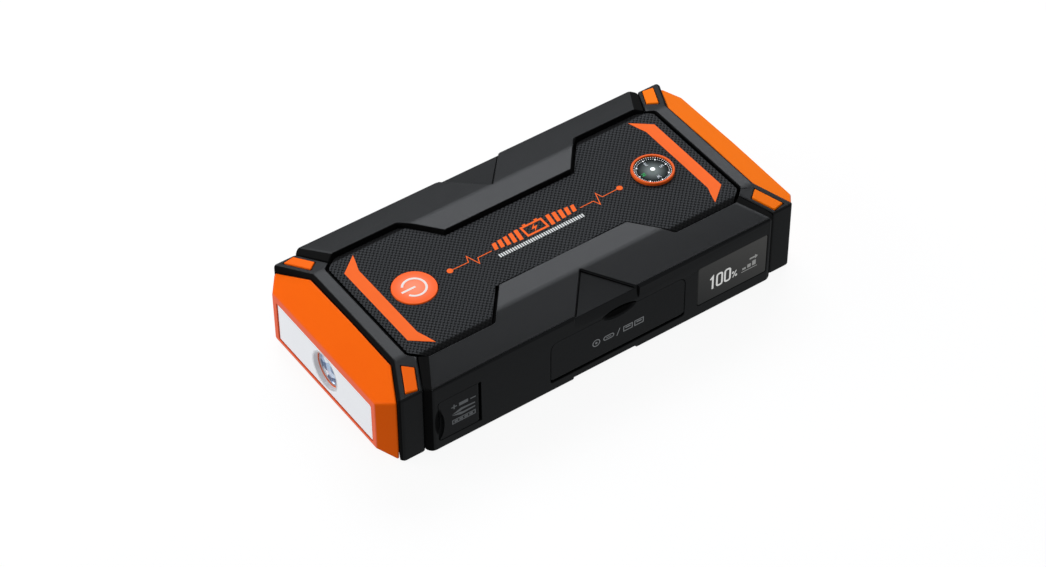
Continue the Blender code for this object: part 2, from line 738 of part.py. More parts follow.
def cap_planes(end):
    """The cap's sloping top, its two top corners and the chamfer under its end."""
    ridge = (end * CAP_START_X, CAP_START_HALF_WIDTH, CAP_START_HEIGHT)
    brow = (end * CAP_END_X, CAP_END_HALF_WIDTH, CAP_END_HEIGHT)
    planes = [plane_through(ridge, brow, (brow[0], 0, CAP_END_HEIGHT))]
    for side in (NEAR, FAR):
        shoulder = (end * CAP_SHOULDER[0], side * CAP_SHOULDER[1], CAP_SHOULDER[2])
        planes.append(
            plane_through((ridge[0], side * ridge[1], ridge[2]), (brow[0], side * brow[1], brow[2]), shoulder)
        )
    rise = CAP_END_BOTTOM
    run = CAP_END_X - CAP_SHOULDER[0]
    planes.append(((end * CAP_END_X, 0, CAP_END_BOTTOM), (end * rise, 0, -run)))
    return planes


def end_cap(end, name):
    """A hollow orange cap, open towards the case."""
    planes = cap_planes(end)
    cap = prism(name, cap_footprint(end), 0, CASE_TOP_HEIGHT, "cap_orange", planes)
    soften(cap, 0.9 * MM, 2)
    hollow = prism_shape(cap_footprint(end, -2.0 * MM), 2.0 * MM, CASE_TOP_HEIGHT)
    slice_off(hollow, planes, 2.0 * MM)
    back = sorted((end * (CAP_START_X - OVER), end * 89 * MM))
    subtract(cap, finish_mesh(f"cut_hollow_{name}", hollow, None))
    subtract(cap, box(f"cut_back_{name}", back, around(0, 22 * MM), (4 * MM, 29.5 * MM), None))
    return cap


def lamp_window(cap):
    """Opens the lamp cap's end for the lens panel, which sits against a ledge inside."""
    outline = rounded(around(0, LENS_HALF_WIDTH + GAP), grown(LENS_Z, GAP), 0.8 * MM, 2)
    subtract(cap, end_prism("cut_lamp_window", outline, (-100 * MM, -90 * MM), None))


def lens_panel():
    outline = rounded(around(0, LENS_HALF_WIDTH), LENS_Z, 0.6 * MM, 2)
    panel = end_prism("lens_panel", outline, (-96.2 * MM, -94.4 * MM), "lens_white")
    hole = cylinder(
        "cut_torch_hole", TORCH_RADIUS, -100 * MM, -90 * MM, None, 40, "X", (0, 0, TORCH_HEIGHT)
    )
    subtract(panel, hole)
    return panel


def torch():
    """The reflector cup, its lens and the emitter behind it, all on one line along X."""
    centre = (0, 0, TORCH_HEIGHT)
    front = TORCH_FRONT_X
    step = front + 2.5 * MM
    back = front + 9.1 * MM
    cup = [
        (8.4 * MM, front),
        (8.4 * MM, back - 3.5 * MM),
        (4.0 * MM, back),
        (2.3 * MM, back),
        (2.3 * MM, back - 0.6 * MM),
        (5.2 * MM, back - 2.6 * MM),
        (7.2 * MM, back - 4.4 * MM),
        (7.2 * MM, step),
        (7.8 * MM, step),
        (7.8 * MM, front),
    ]
    lathe("torch_reflector", cup, "reflector_chrome", 32, "X", centre)
    seat = step - GAP
    lens = [
        (0, seat - 1.1 * MM),
        (3.0 * MM, seat - 1.0 * MM),
        (5.6 * MM, seat - 0.7 * MM),
        (7.4 * MM, seat - 0.4 * MM),
        (7.4 * MM, seat),
        (0, seat),
    ]
    lathe("torch_lens", lens, "clear_lens", 32, "X", centre)
    depth = (back - 0.4 * MM, back + 0.8 * MM)
    box("torch_emitter", depth, around(0, 1.5 * MM), around(TORCH_HEIGHT, 1.5 * MM), "emitter_yellow")


def lamp_board():
    """The board behind the lens panel, with a row of raised lamps on each side of the torch."""
    x = (-85.9 * MM, -84.7 * MM)
    board = box("lamp_board", x, around(0, 21.5 * MM), (6.0 * MM, 24 * MM), "board_green")
    for i, y in enumerate((-18, -13, 13, 18)):
        lamp_y = around(y * MM, 1.4 * MM)
        unite(board, box(f"lamp_{i}", (-86.9 * MM, -85.5 * MM), lamp_y, around(TORCH_HEIGHT, 1.4 * MM), None))
    return board


def top_panel():
    edge = (RECESS_HALF_WIDTH, PANEL_TOP - PANEL_EDGE_DROP)
    planes = [slope(side, (PANEL_FLAT_HALF_WIDTH, PANEL_TOP), edge) for side in (NEAR, FAR)]
    outline = recess_outline(PANEL_GROOVE)
    panel = prism("top_panel", outline, FLOOR_TOP + GAP, PANEL_TOP, "panel_weave", planes)
    low, high = FLOOR_TOP - OVER, PANEL_TOP + OVER
    button = (BUTTON_X, 0, 0)
    compass = (COMPASS_X, 0, 0)
    subtract(panel, cylinder("cut_panel_button", BUTTON_RADIUS + GAP, low, high, None, 32, location=button))
    subtract(
        panel, cylinder("cut_panel_compass", COMPASS_CUP_RADIUS + GAP, low, high, None, 32, location=compass)
    )
    return panel


def power_button():
    """The button, kept under the panel by its flange, on a silicone dome over a switch."""
    centre = (BUTTON_X, 0, 0)
    cap = [
        (0, 30.2 * MM),
        (2.0 * MM, 30.2 * MM),
        (2.0 * MM, 31.0 * MM),
        (BUTTON_RADIUS + 1.2 * MM, 31.0 * MM),
        (BUTTON_RADIUS + 1.2 * MM, 31.9 * MM),
        (BUTTON_RADIUS, 31.9 * MM),
        (BUTTON_RADIUS, PANEL_TOP + 0.1 * MM),
        (BUTTON_RADIUS - 0.2 * MM, PANEL_TOP + 0.3 * MM),
        (5.0 * MM, PANEL_TOP + 0.4 * MM),
        (0, PANEL_TOP + 0.45 * MM),
    ]
    lathe("power_button", cap, "button_orange", 40, location=centre)
    dome = [
        (4.4 * MM, 28.4 * MM),
        (4.4 * MM, 28.8 * MM),
        (2.6 * MM, 29.9 * MM),
        (1.0 * MM, 29.9 * MM),
        (1.0 * MM, 29.5 * MM),
        (2.4 * MM, 29.5 * MM),
        (3.6 * MM, 28.4 * MM),
    ]
    lathe("button_dome", dome, "silicone_white", 20, location=centre)
    cylinder("button_switch", 1.2 * MM, 28.4 * MM, 28.8 * MM, "steel", 12, location=centre)
    sides = around(0, 10 * MM)
    box("button_board", around(BUTTON_X, 10 * MM), sides, (26.9 * MM, 28.1 * MM), "board_green")


def compass():
    """A sealed cup with a card that floats on a pivot under a clear dome, and a ring round it."""
    centre = (COMPASS_X, 0, 0)
    rim = COMPASS_CUP_RADIUS
    bore = 7.05 * MM
    rim_top = PANEL_TOP + 0.8 * MM
    cup = [
        (0, 27.6 * MM),
        (rim, 27.6 * MM),
        (rim, rim_top),
        (bore, rim_top),
        (bore, 28.4 * MM),
        (0, 28.4 * MM),
    ]
    lathe("compass_cup", cup, "dial_black", 32, location=centre)
    pivot = [
        (0, 28.7 * MM),
        (1.5 * MM, 28.7 * MM),
        (1.5 * MM, 29.4 * MM),
        (0.4 * MM, 30.0 * MM),
        (0.15 * MM, 34.4 * MM),
        (0, 34.4 * MM),
    ]
    lathe("compass_pivot", pivot, "brass", 10, location=centre)
    card = [
        (6.75 * MM, 35.4 * MM),
        (6.75 * MM, 35.7 * MM),
        (0, 35.7 * MM),
        (0, 34.8 * MM),
        (0.5 * MM, 34.8 * MM),
        (0.7 * MM, 33.8 * MM),
        (1.5 * MM, 33.8 * MM),
        (1.5 * MM, 35.4 * MM),
    ]
    lathe("compass_card", card, "dial_black", 32, location=centre)
    ring = COMPASS_BEZEL_RADIUS
    bezel = [
        (rim + GAP, PANEL_TOP + GAP),
        (ring, PANEL_TOP + GAP),
        (ring, PANEL_TOP + 1.2 * MM),
        (ring - 0.2 * MM, PANEL_TOP + 1.5 * MM),
        (rim + GAP, PANEL_TOP + 1.5 * MM),
    ]
    lathe("compass_bezel", bezel, "cap_orange", 40, location=centre)
    dome = [(0, rim_top + GAP), (rim, rim_top + GAP)]
    dome += arc_profile(rim, rim_top + GAP + 0.1 * MM, CASE_TOP_HEIGHT - 0.05 * MM, 6)
    lathe("compass_dome", dome, "clear_lens", 32, location=centre)


def arc_profile(radius, rim, crown, steps):
    """Points of a shallow dome, from its rim in to its crown."""
    points = []
    for step in range(steps + 1):
        angle = math.radians(90 * step / steps)
        points.append((radius * math.cos(angle), rim + (crown - rim) * math.sin(angle)))
    points[-1] = (0.0, crown)
    return points


def port_cover():
    """The rubber flap over the small sockets, with a barrel along its lower edge for the pin."""
    face = COVER_FACE
    y, z = port_hinge()
    outline = rounded(PORT_COVER_X, (z, PORT_COVER_Z[1]), 3.2 * MM)
    square = [(PORT_COVER_X[1], z), (PORT_COVER_X[0], z)]
    upper = [point for point in outline if point[1] > z + 3.5 * MM]
    flap = wall_prism("port_cover", upper + square[::-1], (face, face + COVER_THICKNESS), "cover_rubber")
    barrel_x = grown(PORT_COVER_X, -BARREL_SET_IN)
    radius = HINGE_RADIUS - BARREL_SET_IN
    end_radius = radius - BARREL_CHAMFER
    profile = [
        (0, barrel_x[0]),
        (end_radius, barrel_x[0]),
        (radius, barrel_x[0] + BARREL_CHAMFER),
        (radius, barrel_x[1] - BARREL_CHAMFER),
        (end_radius, barrel_x[1]),
        (0, barrel_x[1]),
    ]
    barrel = lathe("port_barrel", profile, None, 16, "X", (0, y, z))
    bore = cylinder("cut_port_bore", HINGE_BORE, *grown(PORT_COVER_X, OVER), None, 12, "X", (0, y, z))
    nail = dish("cut_nail_flap", (NAIL_NOTCH_X, face, 25.2 * MM), (7.8 * MM, 1.2 * MM, 3.0 * MM))
    unite(flap, barrel)
    subtract(flap, bore, nail)
    hang_on(flap, (0, y, z))
    pin_x = grown(PORT_COVER_X, 1.6 * MM)
    pin = cylinder("port_cover_pin", HINGE_PIN_RADIUS, *pin_x, "steel", 10, "X", (0, y, z))
    return flap, pin


def jumper_cover():
    """The rubber flap over the jumper socket, with an upright barrel along its inner edge for the pin."""
    face = COVER_FACE
    x, y = jumper_hinge()
    outline = rounded((JUMPER_COVER_X[0], x), JUMPER_COVER_Z, 1.2 * MM)
    left = [point for point in outline if point[0] < x - 1.5 * MM]
    square = [(x, JUMPER_COVER_Z[0]), (x, JUMPER_COVER_Z[1])]
    flap = wall_prism("jumper_cover", left + square, (face, face + COVER_THICKNESS), "cover_rubber")
    barrel_z = grown(JUMPER_COVER_Z, -BARREL_SET_IN)
    barrel = cylinder("jumper_barrel", HINGE_RADIUS - BARREL_SET_IN, *barrel_z, None, 16, "Z", (x, y, 0))
    bore = cylinder("cut_jumper_bore", HINGE_BORE, *grown(JUMPER_COVER_Z, OVER), None, 12, "Z", (x, y, 0))
    nail = dish("cut_nail_jumper", (-76.4 * MM, face, 12.6 * MM), (3.0 * MM, 2.4 * MM, 7.6 * MM))
    unite(flap, barrel)
    subtract(flap, bore, nail)
    hang_on(flap, (x, y, 0))
    pin_z = grown(JUMPER_COVER_Z, 1.6 * MM)
    pin = cylinder("jumper_cover_pin", HINGE_PIN_RADIUS, *pin_z, "steel", 10, "Z", (x, y, 0))
    return flap, pin


def display():
    window = rounded(DISPLAY_X, DISPLAY_Z, 0.6 * MM)
    wall_prism("display_window", window, (COVER_FACE, COVER_FACE + 1.1 * MM), "display_glass")
    inner = -CASE_HALF_WIDTH + NEAR_WALL
    x = grown(DISPLAY_X, -2.2 * MM)
    z = grown(DISPLAY_Z, -2.2 * MM)
    box("display_module", x, (-CASE_HALF_WIDTH + 1.8 * MM, inner + 1.0 * MM), z, "dial_black")


def jumper_socket():
    """The high-current socket: a blue body with a deep mouth and two hollow contacts."""
    front = -CASE_HALF_WIDTH + NEAR_WALL + GAP
    back = front + 17 * MM
    floor = back - 3 * MM
    x = around(JUMPER_SOCKET_X, 5.8 * MM)
    body = box("jumper_socket", x, (front, back), around(SOCKET_HEIGHT, 9.3 * MM), "socket_blue")
    outline = rounded(around(JUMPER_SOCKET_X, 4.3 * MM), around(SOCKET_HEIGHT, 7.9 * MM), 1.2 * MM, 2)
    subtract(body, wall_prism("cut_socket", outline, (front - OVER, floor), None))
    for name, side in (("contact_positive", 1), ("contact_negative", -1)):
        centre = (JUMPER_SOCKET_X, 0, SOCKET_HEIGHT + side * 4.1 * MM)
        post = cylinder(f"cut_{name}", 1.9 * MM, floor - OVER, back + OVER, None, 16, "Y", centre)
        subtract(body, post)
        profile = [
            (0, back + 2 * MM),
            (1.6 * MM, back + 2 * MM),
            (1.6 * MM, floor - GAP),
            (2.7 * MM, floor - GAP),
            (2.7 * MM, floor - 9 * MM),
            (2.0 * MM, floor - 9 * MM),
            (2.0 * MM, floor - 2 * MM),
            (0, floor - 2 * MM),
        ]
        lathe(name, profile, "brass", 20, "Y", centre)


def usb_sockets():
    front = -CASE_HALF_WIDTH + NEAR_WALL + GAP
    depth = (front, front + 14 * MM)
    mouth = (front - OVER, front + 12 * MM)
    tongue_y = (front + 1.6 * MM, front + 13 * MM)
    tongue_z = (SOCKET_HEIGHT + 0.5 * MM, SOCKET_HEIGHT + 2.2 * MM)
    for i, x in enumerate(USB_A_X):
        shell = box(f"usb_a_{i + 1}", around(x, 7.0 * MM), depth, around(SOCKET_HEIGHT, 3.4 * MM), "steel")
        cut = box(f"cut_usb_{i}", around(x, 6.3 * MM), mouth, around(SOCKET_HEIGHT, 2.7 * MM), None)
        tongue = box(f"tongue_{i}", around(x, 5.4 * MM), tongue_y, tongue_z, None)
        subtract(shell, cut)
        unite(shell, tongue)
    outer = rounded(around(USB_C_X, 4.5 * MM), around(SOCKET_HEIGHT, 1.65 * MM), 1.6 * MM, 3)
    shell = wall_prism("usb_c", outer, (front, front + 9 * MM), "steel")
    inner = rounded(around(USB_C_X, 4.15 * MM), around(SOCKET_HEIGHT, 1.3 * MM), 1.25 * MM, 3)
    subtract(shell, wall_prism("cut_usb_c_mouth", inner, (front - OVER, front + 7.5 * MM), None))
    tongue_y = (front + 1 * MM, front + 8 * MM)
    unite(shell, box("tongue_c", around(USB_C_X, 3.3 * MM), tongue_y, around(SOCKET_HEIGHT, 0.35 * MM), None))


def power_jack():
    front = -CASE_HALF_WIDTH + NEAR_WALL + GAP
    middle = POWER_JACK_X
    height = (SOCKET_HEIGHT - 3.4 * MM, SOCKET_HEIGHT + 4.4 * MM)
    body = box("power_jack", around(middle, 4.6 * MM), (front, front + 12 * MM), height, "lead_black")
    centre = (middle, 0, SOCKET_HEIGHT)
    subtract(body, cylinder("cut_jack_bore", 3.1 * MM, front - OVER, front + 10 * MM, None, 24, "Y", centre))
    unite(body, cylinder("jack_pin", 0.8 * MM, front + 2.0 * MM, front + 11 * MM, None, 12, "Y", centre))


def main_board():
    """The control board under the small sockets, with its relay, choke and capacitors."""
    top = SOCKET_HEIGHT - 3.4 * MM - GAP
    y = (-41.0 * MM, -20.0 * MM)
    box("main_board", (-43 * MM, 43 * MM), y, (top - 1.6 * MM, top), "board_green")
    rest = top + GAP
    box("relay", (-40 * MM, -26 * MM), (-38 * MM, -23 * MM), (rest, rest + 12 * MM), "lead_black")
    choke = [(2.0 * MM, rest), (5.6 * MM, rest), (5.6 * MM, rest + 5 * MM), (2.0 * MM, rest + 5 * MM)]
    lathe("choke", choke, "copper", 20, location=(-12 * MM, -23.2 * MM, 0))
    for i, x in enumerate((1.5, 37.5)):
        place = (x * MM, -24.5 * MM, 0)
        cylinder(f"capacitor_{i + 1}", 3.0 * MM, rest, rest + 10 * MM, "foil_silver", 16, location=place)


def battery():
    """A stack of flat cells under a foam pad, with copper straps at the tab end and two heavy leads."""
    x = around(CELL_MIDDLE[0], CELL_SIZE[0] / 2)
    y = around(CELL_MIDDLE[1], CELL_SIZE[1] / 2)
    pitch = CELL_SIZE[2] + GAP
    start = COVER_PLATE + 2 * GAP
    for i in range(CELL_COUNT):
        low = start + i * pitch
        cell = box(f"cell_{i + 1}", x, y, (low, low + CELL_SIZE[2]), "foil_silver")
        soften(cell, 0.8 * MM)
    top = start + CELL_COUNT * pitch
    box("cell_foam", grown(x, -4 * MM), grown(y, -4 * MM), (top, top + 1.6 * MM), "foam_grey")
    strap_x = (x[0] - 1.6 * MM, x[0] - GAP)
    box("strap_positive", strap_x, (14 * MM, 26 * MM), (start, top - 1.5 * MM), "copper")
    box("strap_negative", strap_x, (-14 * MM, -2 * MM), (start, top - 1.5 * MM), "copper")


def lead(name, route, finish):
    """A heavy lead along a smooth curve through its route's points."""
    curve = bpy.data.curves.new(name, "CURVE")
    curve.dimensions = "3D"
    curve.bevel_depth = 1.5 * MM
    curve.bevel_resolution = 2
    curve.use_fill_caps = True
    line = curve.splines.new("POLY")
    points = smooth_route(route)
    line.points.add(len(points) - 1)
    for point, place in zip(line.points, points):
        point.co = (*place, 1.0)
    tube = bpy.data.objects.new(name, curve)
    bpy.context.scene.collection.objects.link(tube)
    tube.parent = FRAME
    curve.materials.append(material(finish, *MATERIALS[finish]))
    return tube


def smooth_route(route, per_span=5):
    """A Catmull-Rom curve through the route's points."""
    knots = [Vector(point) for point in route]
    knots = [2 * knots[0] - knots[1]] + knots + [2 * knots[-1] - knots[-2]]
    points = []
    for a, b, c, d in zip(knots, knots[1:], knots[2:], knots[3:]):
        for step in range(per_span):
            t = step / per_span
            curved = 2 * b + (c - a) * t + (2 * a - 5 * b + 4 * c - d) * t**2 + (3 * b - a - 3 * c + d) * t**3
            points.append(curved / 2)
    points.append(knots[-2])
    return points


def power_leads():
    """Both leads run from the jumper socket's contacts to the straps on the cells."""
    back = -CASE_HALF_WIDTH + NEAR_WALL + GAP + 17 * MM + 2 * MM + GAP
    straps = CELL_MIDDLE[0] - CELL_SIZE[0] / 2 - 1.6 * MM - GAP
    high = SOCKET_HEIGHT + 4.1 * MM
    low = SOCKET_HEIGHT - 4.1 * MM
    lead(
        "lead_positive",
        [
            (JUMPER_SOCKET_X, back, high),
            (JUMPER_SOCKET_X, back + 6 * MM, high),
            (-69.5 * MM, 0, high - 1 * MM),
            (-69.0 * MM, 13 * MM, high - 3 * MM),
            (-66.5 * MM, 19.6 * MM, high - 4 * MM),
            (straps - 2 * MM, 20 * MM, high - 4 * MM),
            (straps, 20 * MM, high - 4 * MM),
        ],
        "lead_red",
    )
    lead(
        "lead_negative",
        [
            (JUMPER_SOCKET_X, back, low),
            (JUMPER_SOCKET_X, back + 6 * MM, low),
            (-66.5 * MM, -9.0 * MM, low),
            (straps - 2 * MM, -8 * MM, low),
            (straps, -8 * MM, low),
        ],
        "lead_black",
    )


clear_scene()
FRAME = make_frame()
main_housing()
bottom_cover()
screws_and_feet()
for end, place in ((LAMP_END, "front"), (COMPASS_END, "rear")):
    bumper(end, f"bumper_{place}")
    for side, reach in ((NEAR, "near"), (FAR, "far")):
        corner_insert(end, side, f"insert_{place}_{reach}")
lamp_window(end_cap(LAMP_END, "cap_front"))
end_cap(COMPASS_END, "cap_rear")
lens_panel()
torch()
lamp_board()
top_panel()
power_button()
compass()
port_cover()
jumper_cover()
display()
jumper_socket()
usb_sockets()
power_jack()
main_board()
battery()
power_leads()
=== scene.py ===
"""Looks of a pocket jump starter pack: finishes, printed marks and fine details on its CAD parts."""

import math

import bmesh
import bpy
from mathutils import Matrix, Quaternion, Vector


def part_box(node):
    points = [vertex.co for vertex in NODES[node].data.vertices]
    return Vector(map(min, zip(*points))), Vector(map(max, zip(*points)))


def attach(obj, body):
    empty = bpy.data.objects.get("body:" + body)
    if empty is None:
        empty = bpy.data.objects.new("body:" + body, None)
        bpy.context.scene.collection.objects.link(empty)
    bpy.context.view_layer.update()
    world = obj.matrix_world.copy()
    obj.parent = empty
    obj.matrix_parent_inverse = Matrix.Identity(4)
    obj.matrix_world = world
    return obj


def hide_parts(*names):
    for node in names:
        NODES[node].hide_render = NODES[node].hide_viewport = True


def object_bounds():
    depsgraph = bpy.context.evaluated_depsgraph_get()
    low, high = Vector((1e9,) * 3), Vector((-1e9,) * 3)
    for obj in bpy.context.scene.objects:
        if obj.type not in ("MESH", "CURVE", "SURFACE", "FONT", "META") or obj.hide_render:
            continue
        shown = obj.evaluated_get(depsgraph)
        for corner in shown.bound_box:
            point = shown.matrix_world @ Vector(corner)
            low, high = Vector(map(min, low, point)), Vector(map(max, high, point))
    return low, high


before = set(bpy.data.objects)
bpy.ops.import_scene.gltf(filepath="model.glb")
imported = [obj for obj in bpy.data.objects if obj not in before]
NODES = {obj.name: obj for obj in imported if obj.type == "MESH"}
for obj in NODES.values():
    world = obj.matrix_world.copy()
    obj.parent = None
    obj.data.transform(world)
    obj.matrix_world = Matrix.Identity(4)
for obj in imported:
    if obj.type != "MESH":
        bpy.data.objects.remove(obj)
CAD_LOW, CAD_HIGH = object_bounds()
MM = 0.001

# Heights, faces and centres that the details are set out from
PANEL_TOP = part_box("top_panel")[1].z
BUTTON_LOW, BUTTON_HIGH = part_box("power_button")
BUTTON_MIDDLE = (BUTTON_LOW + BUTTON_HIGH) / 2
CARD_LOW, CARD_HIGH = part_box("compass_card")
CARD_MIDDLE = (CARD_LOW + CARD_HIGH) / 2
PORT_LOW, PORT_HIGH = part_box("port_cover")
NEAR_FACE = PORT_LOW.y
JUMPER_LOW, JUMPER_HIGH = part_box("jumper_cover")
WINDOW_LOW, WINDOW_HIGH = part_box("display_window")
LENS_LOW, LENS_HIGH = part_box("lens_panel")
NAIL_X = 5.9 * MM  # middle of the port cover's finger notch
JUMPER_MIDDLE = (JUMPER_LOW.z + JUMPER_HIGH.z) / 2
PRINT = 0.06 * MM  # thickness of printed marks
FLAT_HALF_WIDTH = 28.5 * MM  # the flat middle of the case's top, beyond which its slopes begin
SLOPE_FALL = 3.9 / 17.5  # how fast the slopes fall
CORNER = 0.22 * MM  # rounding of the black shells' sharp edges
PAINTED_SHADE_BLACK = (0.0004, 0.0004, 0.0004)  # painted shade: the black put into notches, recess walls and edges, where shade falls


# Camera, floor and light


def direction(azimuth, elevation):
    """The unit vector towards a place seen at these angles; azimuth 0 is -Y and 90 is +X."""
    a, e = math.radians(azimuth), math.radians(elevation)
    return Vector((math.sin(a) * math.cos(e), -math.cos(a) * math.cos(e), math.sin(e)))


def add_camera():
    """The camera, on the near left and above."""
    data = bpy.data.cameras.new("camera")
    data.sensor_width = 36.0
    data.lens = 104.82
    camera = bpy.data.objects.new("camera", data)
    bpy.context.scene.collection.objects.link(camera)
    camera.rotation_mode = "QUATERNION"
    upright = direction(-34.866, 44.543).to_track_quat("Z", "Y")
    camera.rotation_quaternion = upright @ Quaternion((0, 0, 1), math.radians(-0.374))
    camera.location = (-0.484319, -0.686517, 0.833618)
    bpy.context.scene.camera = camera


def softbox(name, azimuth, elevation, distance, width, height, radiance, tint=(1.0, 1.0, 1.0)):
    """A rectangular light that faces the object. Its power follows from its size and radiance."""
    data = bpy.data.lights.new(name, "AREA")
    data.shape = "RECTANGLE"
    data.size = width
    data.size_y = height
    data.energy = radiance * math.pi * width * height
    data.color = tint
    light = bpy.data.objects.new(name, data)
    bpy.context.scene.collection.objects.link(light)
    towards = direction(azimuth, elevation)
    light.location = towards * distance
    light.rotation_mode = "QUATERNION"
    light.rotation_quaternion = towards.to_track_quat("Z", "Y")


def add_studio():
    """An even grey surround with three softboxes."""
    bpy.context.scene.view_settings.view_transform = "Standard"
    world = bpy.data.worlds.new("studio")
    bpy.context.scene.world = world
    world.use_nodes = True
    tree = world.node_tree
    tree.nodes.clear()
    place = tree.nodes.new("ShaderNodeTexCoord")
    split = tree.nodes.new("ShaderNodeSeparateXYZ")
    ramp = tree.nodes.new("ShaderNodeMapRange")
    ramp.inputs["From Min"].default_value = -0.15
    ramp.inputs["From Max"].default_value = 0.45
    ramp.inputs["To Min"].default_value = 0.34
    ramp.inputs["To Max"].default_value = 0.3
    background = tree.nodes.new("ShaderNodeBackground")
    background.inputs["Color"].default_value = (0.94, 0.97, 1.0, 1.0)
    output = tree.nodes.new("ShaderNodeOutputWorld")
    tree.links.new(place.outputs["Generated"], split.inputs[0])
    tree.links.new(split.outputs["Z"], ramp.inputs["Value"])
    tree.links.new(ramp.outputs["Result"], background.inputs["Strength"])
    tree.links.new(background.outputs[0], output.inputs[0])
    softbox("key_light", 145.0, 45.0, 1.6, 1.3, 0.6, 7.2, (0.92, 0.95, 1.0))
    softbox("side_light", -127.0, 18.0, 1.5, 1.0, 0.8, 4.5)
    softbox("top_light", -20.0, 82.0, 1.8, 0.9, 0.9, 1.0)


def add_floor():
    """A sheet of bright paper under the feet, which lends the object no light and no reflection."""
    bpy.ops.mesh.primitive_plane_add(size=6.0, location=(0, 0, -0.0002))
    floor = bpy.context.object
    floor.name = "floor"
    look = Look("floor_paper")
    paper = look.mix(look.noise(4.0), (0.9, 0.9, 0.9), (0.93, 0.93, 0.93))
    look.colour(look.mix(1.0, paper, (0.1, 0.1, 0.1)))  # dark in itself, so that shadows stay faint
    look.feed(look.shader.inputs["Emission Color"], paper)
    look.set(roughness=0.9, specular=0.0, glow=1.0)
    floor.data.materials.append(look.material)
    floor.visible_glossy = False
    floor.visible_diffuse = False


# Finishes


